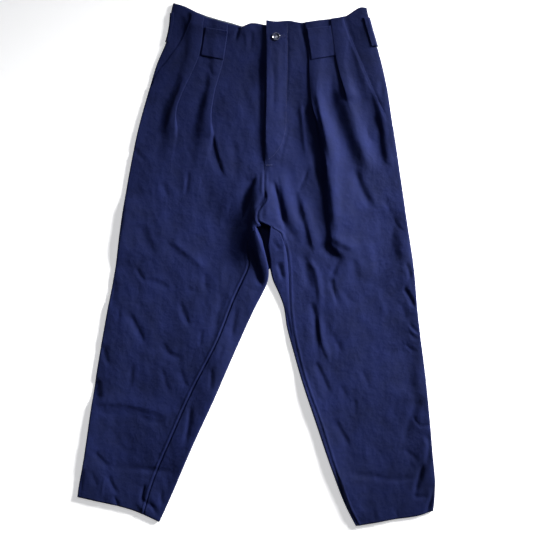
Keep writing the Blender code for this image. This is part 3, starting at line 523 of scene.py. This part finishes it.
def bent_to_edges(half, waist, x, level):
    """Y of a section at x: level, but for the slant of the hem and the curve of the waist near them."""
    to_hem = (half.hem(x) - HEM) * (1 - fade(level, HEM, HEM + HEM_SLANT_REACH))
    to_waist = (waist(x) - WAIST) * fade(level, WAIST - WAIST_CURVE_REACH, WAIST)
    near_crotch = fade(-np.abs(level - CROTCH), -CROTCH_RISE_REACH, 0)
    beside_it = bell(x - CROTCH_RISE_X, CROTCH_RISE_SPREAD)
    to_crotch = np.where(half is LEFT, CROTCH_RISE * near_crotch * beside_it, 0)
    return level + to_hem + to_waist + to_crotch


def follow(half, waist, level, columns, lines):
    """X and y along a panel's columns, where lines gives the x of every column at heights y."""
    y = np.repeat(level, columns, axis=1)
    for _ in range(FOLLOW_ROUNDS):
        y = bent_to_edges(half, waist, lines(y), level)
    return lines(y), y


def with_columns(x, y, z, before=(), after=()):
    """A grid with columns of (x, z) added at its ends, each with the y of the end that it is beside."""
    xs, zs = zip(*before, (x, z), *after)
    ys = [y[:, :1]] * len(before) + [y] + [y[:, -1:]] * len(after)
    return np.hstack(xs), np.hstack(ys), np.hstack(zs)


def fold_x(half, y):
    """X on the top where the fold at a leg's inner edge begins."""
    return half.edge(y) + half.out * (CLOTH / 2 + EDGE_ROLL)


def inseam_x(half, y):
    """X of the inseam, which shows on the top just outside that fold."""
    return half.out * np.maximum(half.out * half.inseam(y), half.out * fold_x(half, y) + LEAST_STRIP)


def inseam_gap(y):
    """Gap at the inseam, a little wider where the seam runs along a ridge."""
    return SEAM + RIDGE_GAP * fade(y, *RIDGE_FADE)


def fan_start(half, y):
    """X where a front's columns fan out from. It runs smoothly past the crotch, where the inner end jumps."""
    jump = half.out * (inseam_x(half, UNDER_CROTCH) - centre_seam(CROTCH))
    on_leg = half.out * inseam_x(half, y) - jump * fade(y, CROTCH - FAN_REACH, UNDER_CROTCH)
    return np.where(y < UNDER_CROTCH, half.out * on_leg, centre_seam(y))


def front_inner_end(half, y):
    """X of the front's inner end: along the inseam, the centre seam or the fly."""
    centre = centre_seam(y)
    if half is RIGHT:
        centre = centre + np.where(y > FLY_OPEN, FLY_UNDERLAP, 0)
    on_leg = inseam_x(half, y) + half.out * inseam_gap(y) / 2
    return np.where(y < UNDER_CROTCH, on_leg, centre + half.out * SEAM / 2)


def side_roll_x(half, y):
    """X where the cloth starts to roll over at the side."""
    return half.side(y) - half.out * (CLOTH / 2 + EDGE_ROLL)


def pleat_fold(half, pleat, y):
    """The fold of a pleat at heights y."""
    places, *columns = zip(*pleat.opening)
    turn, bend, depth, spread = (np.interp(y, places, column) for column in columns)
    turn = np.radians(turn)
    across = 2 * bend * np.sin(turn) + depth * np.cos(turn)
    rise = 2 * bend * (1 - np.cos(turn)) + depth * np.sin(turn)
    crest = pleat.line(y)
    foot = crest - half.out * across
    angles = [turn * i / ARC_STEPS for i in range(ARC_STEPS + 1)]
    xs = [foot + half.out * bend * np.sin(angle) for angle in angles]
    heights = [bend * (1 - np.cos(angle)) for angle in angles]
    xs += [crest - half.out * bend * np.sin(angle) for angle in reversed(angles)]
    heights += [rise - bend * (1 - np.cos(angle)) for angle in reversed(angles)]
    layers_reach = bend * np.sin(np.minimum(turn, math.pi / 2)) - across
    clear = crest + half.out * (np.maximum(layers_reach, 0) + CLOTH)
    return Fold(xs, heights, clear, rise, spread)


def front_lines(half, level, y):
    """The x of every column of a front at heights y, and how far the pleats raise the cloth there."""
    folds = [pleat_fold(half, pleat, y) for pleat in half.pleats]
    flat = np.zeros_like(y)
    inner_end = front_inner_end(half, y)
    xs, heights = [inner_end], [flat]
    start = np.where(y > FLY_OPEN, inner_end, fan_start(half, y))
    for fold, width, crowding in zip(folds, SPAN_COLUMNS, SPAN_CROWDING):
        for i in range(1, width):
            place = start + (fold.xs[0] - start) * (i / width) ** crowding
            xs.append(half.out * np.maximum(half.out * place, half.out * inner_end))
        xs += fold.xs
        heights += [flat] * (width - 1) + fold.heights
        start = fold.clear
    end = np.where(level > half.pocket_end, half.pocket(y), side_roll_x(half, y))
    xs += [start + (end - start) * i / SIDE_COLUMNS for i in range(SIDE_COLUMNS + 1)]
    heights += [flat] * (SIDE_COLUMNS + 1)
    x = np.stack([grid[:, i] for i, grid in enumerate(xs)], axis=1)
    lift = np.stack([grid[:, i] for i, grid in enumerate(heights)], axis=1)
    passed = 1
    for fold, width in zip(folds, SPAN_COLUMNS):
        passed += width - 1 + len(fold.xs)
        beyond = np.maximum(half.out * (x - fold.clear), 0)
        lift[:, passed:] += (fold.rise * np.exp(-((beyond / fold.spread) ** 3)))[:, passed:]
    return x, lift


def side_roll(out, roll_x, top_z, side_of_seam, reach=0.0):
    """A roll at the side as (x, z), from the seam at mid height to level. side_of_seam is -1 below it."""
    middle, rise = (top_z + FLOOR_LAYER) / 2, (top_z - FLOOR_LAYER) / 2
    across, up = out * (EDGE_ROLL + reach), side_of_seam * (rise + reach)
    points = [(roll_x + across * math.cos(a), middle + up * math.sin(a)) for a in SIDE_ANGLES]
    return [(points[0][0], middle + side_of_seam * SEAM / 2)] + points


def inner_fold(half, x, y):
    """The fold at a leg's inner edge as (x, z), from the surface round to the top at x."""
    top_z = cloth_height(x, y)
    middle, rise = (top_z + FLOOR_LAYER) / 2, (top_z - FLOOR_LAYER) / 2
    return [(x - half.out * EDGE_ROLL * math.cos(a), middle + rise * math.sin(a)) for a in FOLD_ANGLES]


def front_grid(half, levels):
    """The middle surface of a front, from its inner end to its side."""
    level = levels[:, None]
    in_spans = sum(SPAN_COLUMNS) - len(SPAN_COLUMNS)
    columns = 1 + in_spans + len(half.pleats) * 2 * (ARC_STEPS + 1) + SIDE_COLUMNS + 1
    x, y = follow(half, half.waist, level, columns, lambda y: front_lines(half, level, y)[0])
    z = front_height(half, x, y) + front_lines(half, level, y)[1]
    end_x, end_z = x[:, -1:], z[:, -1:]
    opened = level > half.pocket_end
    rolled = []
    for i, (roll_x, roll_z) in enumerate(side_roll(half.out, end_x, end_z, 1)[-2::-1], 1):
        free_x = end_x + half.out * FREE_EDGE_STEP * i
        rolled.append((np.where(opened, free_x, roll_x), np.where(opened, end_z, roll_z)))
    return with_columns(x, y, z, after=rolled)


def back_floor_grid(half, levels):
    """The part of a back on the table, from its side to half way up the leg's fold or to the seat seam."""
    level = levels[:, None]

    def lines(y):
        seat = centre_back(y) + half.out * SEAT_GAP / 2
        start, end = side_roll_x(half, y), np.where(level > NOTCH, seat, fold_x(half, y))
        return start + (end - start) * FLOOR_SHARES

    x, y = follow(half, half.back_waist, level, len(FLOOR_SHARES), lines)
    start_x, start_y, end_x = x[:, :1], y[:, :1], x[:, -1:]
    facing_z, front_z = facing_height(half, start_x, start_y), front_height(half, start_x, start_y)
    top_z = np.where(level > half.pocket_end, facing_z, front_z)
    roll = side_roll(half.out, start_x, top_z, -1)[:-1]
    fold = inner_fold(half, end_x, y[:, -1:])[: len(FOLD_ANGLES) // 2 + 1]
    inner = []
    for i, (around_x, around_z) in enumerate(fold):
        beside_seat = end_x + half.out * SEAT_STEP * (len(fold) - 1 - i)
        place = np.where(level > NOTCH, beside_seat, around_x)
        inner.append((place, np.where(level > NOTCH, FLOOR_LAYER, around_z)))
    x = np.hstack([x[:, :-1], inner[0][0]])
    return with_columns(x, y, np.full_like(x, FLOOR_LAYER), roll, inner[1:])


def back_strip_grid(half, levels):
    """The part of a back that shows on top, from half way up the leg's fold to the inseam."""
    level = levels[:, None]

    def lines(y):
        start, end = fold_x(half, y), inseam_x(half, y) - half.out * inseam_gap(y) / 2
        return start + (end - start) * STRIP_SHARES

    x, y = follow(half, half.waist, level, len(STRIP_SHARES), lines)
    around = inner_fold(half, x[:, :1], y[:, :1])[len(FOLD_ANGLES) // 2 : -1]
    # Above the notch the seat seam has parted the fold, and the edge hangs over the back below it.
    lowest = np.where(level > NOTCH, LOWEST_TOP + SEAM, 0)
    return with_columns(x, y, cloth_height(x, y), [(place, np.maximum(z, lowest)) for place, z in around])


def facing_grid(half, levels):
    """A pocket's facing, from under the front to the side seam."""
    level = levels[:, None]

    def lines(y):
        start, end = half.pocket(y) - half.out * POCKET_UNDERLAP, side_roll_x(half, y)
        return start + (end - start) * STRIP_SHARES

    x, y = follow(half, half.waist, level, len(STRIP_SHARES), lines)
    z = facing_height(half, x, y)
    return with_columns(x, y, z, after=side_roll(half.out, x[:, -1:], z[:, -1:], 1)[-2::-1])


def front_loop_grid(half):
    """A wide loop across a front's pleats, which climbs from the cloth over the layers of the inner one."""
    top_left, top_right, bottom_right, bottom_left = np.array(half.loop, float)
    down = np.linspace(0, 1, LOOP_ROWS)[:, None, None]
    share = np.linspace(0, 1, LOOP_COLUMNS)[None, :, None]
    left = top_left + (bottom_left - top_left) * down
    right = top_right + (bottom_right - top_right) * down
    x, y = np.moveaxis(left + (right - left) * share, 2, 0)
    fold = pleat_fold(half, half.pleats[0], y)
    beyond = np.maximum(half.out * (x - fold.clear), 0)
    layers = fold.rise * np.exp(-((beyond / (fold.spread + LOOP_EASE)) ** 3))
    bow = LOOP_BOW * np.sin(np.pi * down[:, :, 0])
    return x, y, front_height(half, x, y) + layers + CLOTH / 2 + SEAM + LOOP_CLOTH / 2 + bow


def side_loop_grid(half, top, shown):
    """A loop over a side, from the pocket's facing outwards and down round the roll."""
    over = CLOTH / 2 + 3 * SEAM + LOOP_CLOTH / 2
    y = np.linspace(top, top - SIDE_LOOP_LENGTH, SIDE_LOOP_ROWS)[:, None]
    roll_x = side_roll_x(half, y)
    top_z = facing_height(half, roll_x, y)
    x = roll_x - half.out * shown * SIDE_LOOP_SHARES
    roll = side_roll(half.out, roll_x, top_z, 1, over / math.cos(SIDE_ANGLES[0]))[::-1]
    y = np.repeat(y, x.shape[1], axis=1)
    return with_columns(x, y, facing_height(half, x, y) + over, after=roll)


def waist_facing_grid():
    """The strip inside the back waist, which shows above the dip of the right front."""
    x = np.linspace(*FACING_SPAN, FACING_COLUMNS)[None, :]
    down = np.linspace(0, FACING_DEPTH, FACING_ROWS)[:, None]
    y = RIGHT.back_waist(x) - CLOTH / 2 - down
    x = np.repeat(x, FACING_ROWS, axis=0)
    return x, y, np.full_like(x, LOWEST_TOP)


def add_grid(mesh, x, y, z):
    """Adds a grid whose points are the given ones, in millimetres."""
    rows, columns = x.shape
    made = bmesh.ops.create_grid(mesh, x_segments=columns - 1, y_segments=rows - 1, size=0.5)["verts"]
    for vertex in made:
        place = round((vertex.co.y + 0.5) * (rows - 1)), round((vertex.co.x + 0.5) * (columns - 1))
        vertex.co = (x[place] * MM, y[place] * MM, z[place] * MM)


def add_object(name, data):
    """An object in the scene from its data."""
    made = bpy.data.objects.new(name, data)
    bpy.context.scene.collection.objects.link(made)
    return made


def finish_piece(name, mesh, material, node=None):
    """An object from a bmesh, riding on the garment and standing for a node of the frame."""
    data = bpy.data.meshes.new(name)
    mesh.to_mesh(data)
    mesh.free()
    data.materials.append(material)
    data.shade_smooth()
    piece = add_object(name, data)
    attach(piece, "root")
    if node:
        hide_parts(node)
    return piece


def cloth_piece(node, grids, material, thickness=CLOTH):
    """A panel of cloth from its middle surface."""
    mesh = bmesh.new()
    for grid in grids:
        add_grid(mesh, *grid)
    bmesh.ops.remove_doubles(mesh, verts=mesh.verts, dist=MERGE * MM)
    bmesh.ops.recalc_face_normals(mesh, faces=mesh.faces)
    piece = finish_piece(f"{node}_cloth", mesh, material, node)
    wall = piece.modifiers.new("cloth thickness", "SOLIDIFY")
    wall.thickness = thickness * MM
    wall.offset = 0.0
    wall.use_even_offset = True
    wall.use_quality_normals = True
    return piece


def button_foot():
    """Height of the button's underside, a little above the fly's cloth."""
    x, y = (np.array([[place]], float) for place in BUTTON_PLACE)
    return front_height(LEFT, x, y)[0, 0] + CLOTH / 2 + BUTTON_GAP


def button_piece(resin):
    """The button: a dished disc with a rim and four holes, spun from its profile."""
    mesh = bmesh.new()
    rim = [mesh.verts.new((radius * MM, 0, height * MM)) for radius, height in BUTTON_PROFILE]
    edges = [mesh.edges.new(pair) for pair in zip(rim, rim[1:])]
    bmesh.ops.spin(
        mesh, geom=rim + edges, cent=(0, 0, 0), axis=(0, 0, 1), angle=2 * math.pi, steps=BUTTON_SECTORS,
        use_merge=True,
    )
    bmesh.ops.remove_doubles(mesh, verts=mesh.verts, dist=MERGE * MM)
    bmesh.ops.recalc_face_normals(mesh, faces=mesh.faces)
    holes = []
    for face in mesh.faces:
        middle = face.calc_center_median() / MM
        in_ring = BUTTON_HOLE_RING[0] < math.hypot(middle.x, middle.y) < BUTTON_HOLE_RING[1]
        on_diagonal = abs(abs(middle.x) - abs(middle.y)) < BUTTON_HOLE_REACH
        if in_ring and on_diagonal and middle.z > BUTTON_HOLE_DEPTH:
            holes.append(face)
    sunk = bmesh.ops.extrude_face_region(mesh, geom=holes)["geom"]
    bottoms = [part for part in sunk if isinstance(part, bmesh.types.BMVert)]
    bmesh.ops.translate(mesh, verts=bottoms, vec=(0, 0, -BUTTON_HOLE_DEPTH * MM))
    bmesh.ops.delete(mesh, geom=holes, context="FACES")
    bmesh.ops.translate(mesh, verts=mesh.verts, vec=Vector((*BUTTON_PLACE, button_foot())) * MM)
    return finish_piece("four_hole_button", mesh, resin, "button")


def add_stitch(mesh, place, angle, length, radius):
    """A straight stitch lying level, turned by an angle about its middle."""
    turned = Matrix.Rotation(angle, 4, "Z") @ Matrix.Rotation(math.pi / 2, 4, "Y")
    bmesh.ops.create_cone(
        mesh, cap_ends=True, segments=STITCH_SIDES, radius1=radius * MM, radius2=radius * MM,
        depth=length * MM, matrix=Matrix.Translation(Vector(place) * MM) @ turned,
    )


def stitches_piece(thread):
    """The fly's stitching, the bar at its foot, the buttonhole and the thread through the button."""
    mesh = bmesh.new()
    for row in STITCH_ROWS:
        line_x, line_y = crease_line(row)
        run = np.concatenate([[0], np.cumsum(np.hypot(np.diff(line_x), np.diff(line_y)))])
        along = np.arange(row.pitch / 2, run[-1], row.pitch)
        x, y = np.interp(along, run, line_x), np.interp(along, run, line_y)
        z = front_height(LEFT, x[:, None], y[:, None])[:, 0] + CLOTH / 2 + STITCH_RADIUS / 3
        angles = np.arctan2(np.gradient(y), np.gradient(x)) + (math.pi / 2 if row.across else 0)
        for place, angle in zip(zip(x, y, z), angles):
            add_stitch(mesh, place, angle, row.length, STITCH_RADIUS)
    foot = button_foot() + max(height for radius, height in BUTTON_PROFILE if radius < BUTTON_HOLE_RING[1])
    for beside in (-1, 1):
        place = (BUTTON_PLACE[0], BUTTON_PLACE[1] + beside * BUTTON_HOLE_RING[0], foot)
        add_stitch(mesh, place, 0, sum(BUTTON_HOLE_RING), BUTTON_THREAD_RADIUS)
    return finish_piece("fly_stitching", mesh, thread)


# Sizes in the materials' patterns. The twill's real diagonals are 0.6 apart and are drawn wider so that they
# show. A wave node's bands are a tenth of pi apart at scale 1.
DYE_PATCHES = 42
SLUBS = 2.4
SLUBS_IN_DYE = 0.35
SLUBS_IN_WEAVE = 0.8
DEEPEST_DYE, PALEST_DYE = 0.42, 0.93
COCKLES = 10.5
TWILL = 1.3
BANDS_APART = math.pi / 10
LINING_SPECKS = 1.7
RESIN_CLOUDS = 4
THREAD_TWIST = 0.4
# A pool of light painted into the cloth's colour: its middle, how far it reaches, and how much paler and
# darker it makes the cloth.
PAINTED_LIGHT_MIDDLE = (100, 100, 0)
PAINTED_LIGHT_REACH = 600
PAINTED_LIGHT_STEP = 0.07


def colour(hex_value):
    """A sRGB hex colour as linear values with alpha."""
    channels = [int(hex_value[i : i + 2], 16) / 255 for i in (1, 3, 5)]
    linear = [c / 12.92 if c <= 0.04045 else ((c + 0.055) / 1.055) ** 2.4 for c in channels]
    return (*linear, 1.0)


def add_node(tree, kind, settings=None, inputs=None):
    """Adds a node. Its inputs are values or other nodes' outputs, each under a socket's name or number."""
    node = tree.nodes.new("ShaderNode" + kind)
    for name, value in (settings or {}).items():
        setattr(node, name, value)
    for socket, value in (inputs or {}).items():
        if isinstance(value, bpy.types.NodeSocket):
            tree.links.new(value, node.inputs[socket])
        else:
            node.inputs[socket].default_value = value
    return node


def new_material(name, settings):
    """A material with its shader's settings, its node tree and object coordinates."""
    made = bpy.data.materials.new(name)
    made.use_nodes = True
    tree = made.node_tree
    shader = tree.nodes["Principled BSDF"]
    for socket, value in settings.items():
        shader.inputs[socket].default_value = value
    return made, tree, shader, add_node(tree, "TexCoord").outputs["Object"]


def make_suiting():
    """Worsted polyester and wool twill, navy from piece dyeing: matt, with a fine diagonal and a faint sheen.
    A pool of light is painted into its colour.
    """
    settings = {
        "Roughness": 0.8, "Specular IOR Level": 0.12, "Sheen Weight": 0.012, "Sheen Roughness": 0.5,
        "Sheen Tint": colour("#a9b4e2"),
    }
    made, tree, shader, place = new_material("navy worsted twill", settings)
    # Dye takes unevenly over a few centimetres, and the yarn itself varies every few millimetres.
    patches, slubs = (
        add_node(
            tree, "TexNoise",
            inputs={"Vector": place, "Scale": 1 / (size * MM), "Detail": detail, "Roughness": 0.6},
        )
        for size, detail in ((DYE_PATCHES, 4.0), (SLUBS, 2.0))
    )
    # Painted light: the colour is painted paler around a point on the left thigh and darker away from it,
    # towards the waist and the hems.
    from_painted_light_middle = add_node(
        tree, "VectorMath", {"operation": "DISTANCE"}, {0: place, 1: Vector(PAINTED_LIGHT_MIDDLE) * MM}
    )
    painted_light_pool = add_node(
        tree, "MapRange",
        inputs={
            "Value": from_painted_light_middle.outputs["Value"], "From Max": PAINTED_LIGHT_REACH * MM,
            "To Min": PAINTED_LIGHT_STEP, "To Max": -PAINTED_LIGHT_STEP,
        },
    )
    # The dye's uneven patches, with the painted pool of light added to them.
    dye_and_painted_light = add_node(
        tree, "Math", {"operation": "ADD"}, {0: patches.outputs["Fac"], 1: painted_light_pool.outputs["Result"]}
    )
    mixed = add_node(
        tree, "Math", {"operation": "MULTIPLY_ADD"},
        {0: slubs.outputs["Fac"], 1: SLUBS_IN_DYE, 2: dye_and_painted_light.outputs["Value"]},
    )
    share = add_node(
        tree, "MapRange",
        inputs={"Value": mixed.outputs["Value"], "From Min": DEEPEST_DYE, "From Max": PALEST_DYE},
    )
    shade = add_node(
        tree, "Mix", {"data_type": "RGBA"},
        {"Factor": share.outputs["Result"], 6: colour("#0e1639"), 7: colour("#131c48")},
    )
    tree.links.new(shade.outputs["Result"], shader.inputs["Base Color"])
    # Wear leaves the cloth cockled, with shallow dimples about a centimetre across.
    cockles = add_node(
        tree, "TexNoise", inputs={"Vector": place, "Scale": 1 / (COCKLES * MM), "Detail": 2.5}
    )
    dimples = add_node(
        tree, "Bump", inputs={"Strength": 1.0, "Distance": 1.0 * MM, "Height": cockles.outputs["Fac"]}
    )
    twill = add_node(
        tree, "TexWave", {"wave_type": "BANDS", "bands_direction": "DIAGONAL"},
        {"Vector": place, "Scale": BANDS_APART / (TWILL * MM), "Distortion": 1.2},
    )
    weave = add_node(
        tree, "Math", {"operation": "MULTIPLY_ADD"},
        {0: slubs.outputs["Fac"], 1: SLUBS_IN_WEAVE, 2: twill.outputs["Fac"]},
    )
    woven = add_node(
        tree, "Bump",
        inputs={
            "Strength": 0.35, "Distance": 0.4 * MM,
            "Height": weave.outputs["Value"], "Normal": dimples.outputs["Normal"],
        },
    )
    tree.links.new(woven.outputs["Normal"], shader.inputs["Normal"])
    return made


def clouded_material(name, settings, size, detail, dark, pale):
    """A material whose colour varies between two, in clouds of one size. Also its tree, shader and clouds."""
    made, tree, shader, place = new_material(name, settings)
    clouds = add_node(tree, "TexNoise", inputs={"Vector": place, "Scale": 1 / (size * MM), "Detail": detail})
    shade = add_node(
        tree, "Mix", {"data_type": "RGBA"},
        {"Factor": clouds.outputs["Fac"], 6: colour(dark), 7: colour(pale)},
    )
    tree.links.new(shade.outputs["Result"], shader.inputs["Base Color"])
    return made, tree, shader, clouds


def make_lining():
    """Plain cotton lining, grey and matt."""
    made, tree, shader, specks = clouded_material(
        "grey cotton lining", {"Roughness": 0.85}, LINING_SPECKS, 2.0, "#3c444c", "#59626a"
    )
    bump = add_node(
        tree, "Bump", inputs={"Strength": 0.3, "Distance": 0.3 * MM, "Height": specks.outputs["Fac"]}
    )
    tree.links.new(bump.outputs["Normal"], shader.inputs["Normal"])
    return made


def make_button_resin():
    """Cast polyester resin: dark slate, faintly clouded, with a polished face."""
    settings = {"Roughness": 0.18, "IOR": 1.56, "Coat Weight": 1.0, "Coat Roughness": 0.08}
    return clouded_material("polished slate resin", settings, RESIN_CLOUDS, 3.0, "#1d2030", "#444a63")[0]


def make_thread():
    """Spun polyester sewing thread, a shade lighter than the cloth, with its twist as faint specks."""
    settings = {"Roughness": 0.55}
    return clouded_material("navy sewing thread", settings, THREAD_TWIST, 1.0, "#151c45", "#28326a")[0]


def lay_cloth(suiting, lining):
    """Every panel and loop."""
    levels = np.unique(
        np.concatenate([
            np.linspace(HEM, NOTCH, round((NOTCH - HEM) / ROW_STEP)),
            np.linspace(NOTCH, CROTCH_GUSSET, round((CROTCH_GUSSET - NOTCH) / ROW_STEP * CROTCH_CROWDING)),
            np.linspace(CROTCH_GUSSET, CROTCH, GUSSET_ROWS),
            np.linspace(CROTCH, WAIST, round((WAIST - CROTCH) / ROW_STEP)),
            [LEFT_POCKET_END, RIGHT_POCKET_END],
        ])
    )
    pieces = {}
    for half, loop_top, shown in zip((RIGHT, LEFT), SIDE_LOOP_TOPS, SIDE_LOOPS_SHOWN):
        in_pocket = levels[levels > half.pocket_end]
        backs = [back_floor_grid(half, levels), back_strip_grid(half, levels[levels < UNDER_CROTCH])]
        grids = {
            f"back_{half.name}": (backs, CLOTH),
            f"front_{half.name}": ([front_grid(half, levels)], CLOTH),
            f"pocket_facing_{half.name}": ([facing_grid(half, in_pocket)], CLOTH),
            f"belt_loop_front_{half.name}": ([front_loop_grid(half)], LOOP_CLOTH),
            f"belt_loop_side_{half.name}": ([side_loop_grid(half, loop_top, shown)], LOOP_CLOTH),
        }
        for node, (panels, thickness) in grids.items():
            pieces[node] = cloth_piece(node, panels, suiting, thickness)
    node = "waist_facing_back"
    pieces[node] = cloth_piece(node, [waist_facing_grid()], lining)
    return pieces


# The size that each piece was cut to: width, length and area, in metres.
Cut = namedtuple("Cut", "width length area")


def main():
    """The whole garment: its cloth, its button and its stitching."""
    suiting = make_suiting()
    pieces = lay_cloth(suiting, make_lining())
    button_piece(make_button_resin())
    stitches_piece(make_thread())


# The camera looks straight down. FRAME_WIDTH is what the photo shows at the cloth's usual height, and
# FRAME_MIDDLE is how far its middle is from the garment's.
FRAME_WIDTH = 1013
FRAME_MIDDLE = (19, -4)
CAMERA_HEIGHT = 1700
SENSOR = 36


def add_camera():
    """The photo's camera."""
    data = bpy.data.cameras.new("camera")
    data.sensor_width = SENSOR
    data.lens = SENSOR * CAMERA_HEIGHT / FRAME_WIDTH
    camera = add_object("camera", data)
    camera.location = (FRAME_MIDDLE[0] * MM, FRAME_MIDDLE[1] * MM, (CAMERA_HEIGHT + USUAL_TOP) * MM)
    bpy.context.scene.camera = camera


# Each light's place, what it shines at and its disc's width in metres, its power and its spread in degrees.
Light = namedtuple("Light", "name place target width power spread")
LIGHTS = [
    Light("window", (1.85, 1.08, 0.86), (0.13, -0.05, 0), 0.95, 13.5, 39),
    Light("ceiling", (0.0, 1.15, 2.5), (0, 0, 0), 0.7, 6, 180),
]
WORLD_STRENGTH = 0.05
TABLE_REACH = 6000
TABLE_GAP = 0.2  # below the garment


def add_table():
    """A white table top, wide enough for the camera in every view."""
    mesh = bmesh.new()
    bmesh.ops.create_grid(mesh, x_segments=1, y_segments=1, size=TABLE_REACH * MM)
    bmesh.ops.translate(mesh, verts=mesh.verts, vec=(0, 0, -TABLE_GAP * MM))
    data = bpy.data.meshes.new("table")
    mesh.to_mesh(data)
    mesh.free()
    table = add_object("table", data)
    settings = {
        "Base Color": colour("#fbfbfb"), "Roughness": 0.9, "Specular IOR Level": 0.1,
        "Emission Color": colour("#ffffff"), "Emission Strength": 0.5,
    }
    data.materials.append(new_material("opal acrylic light table", settings)[0])


def add_light():
    """A large soft window light from the upper right, and a dim even fill."""
    for row in LIGHTS:
        data = bpy.data.lights.new(row.name, "AREA")
        data.shape = "DISK"
        data.size = row.width
        data.energy = row.power
        data.spread = math.radians(row.spread)
        light = add_object(row.name, data)
        light.location = row.place
        light.rotation_euler = (Vector(row.target) - Vector(row.place)).to_track_quat("-Z", "Y").to_euler()
    world = bpy.data.worlds.new("studio")
    world.use_nodes = True
    sky = world.node_tree.nodes["Background"]
    sky.inputs["Color"].default_value = colour("#d5dcff")
    sky.inputs["Strength"].default_value = WORLD_STRENGTH
    bpy.context.scene.world = world
    bpy.context.scene.view_settings.view_transform = "Standard"


main()
add_table()
add_light()
add_camera()
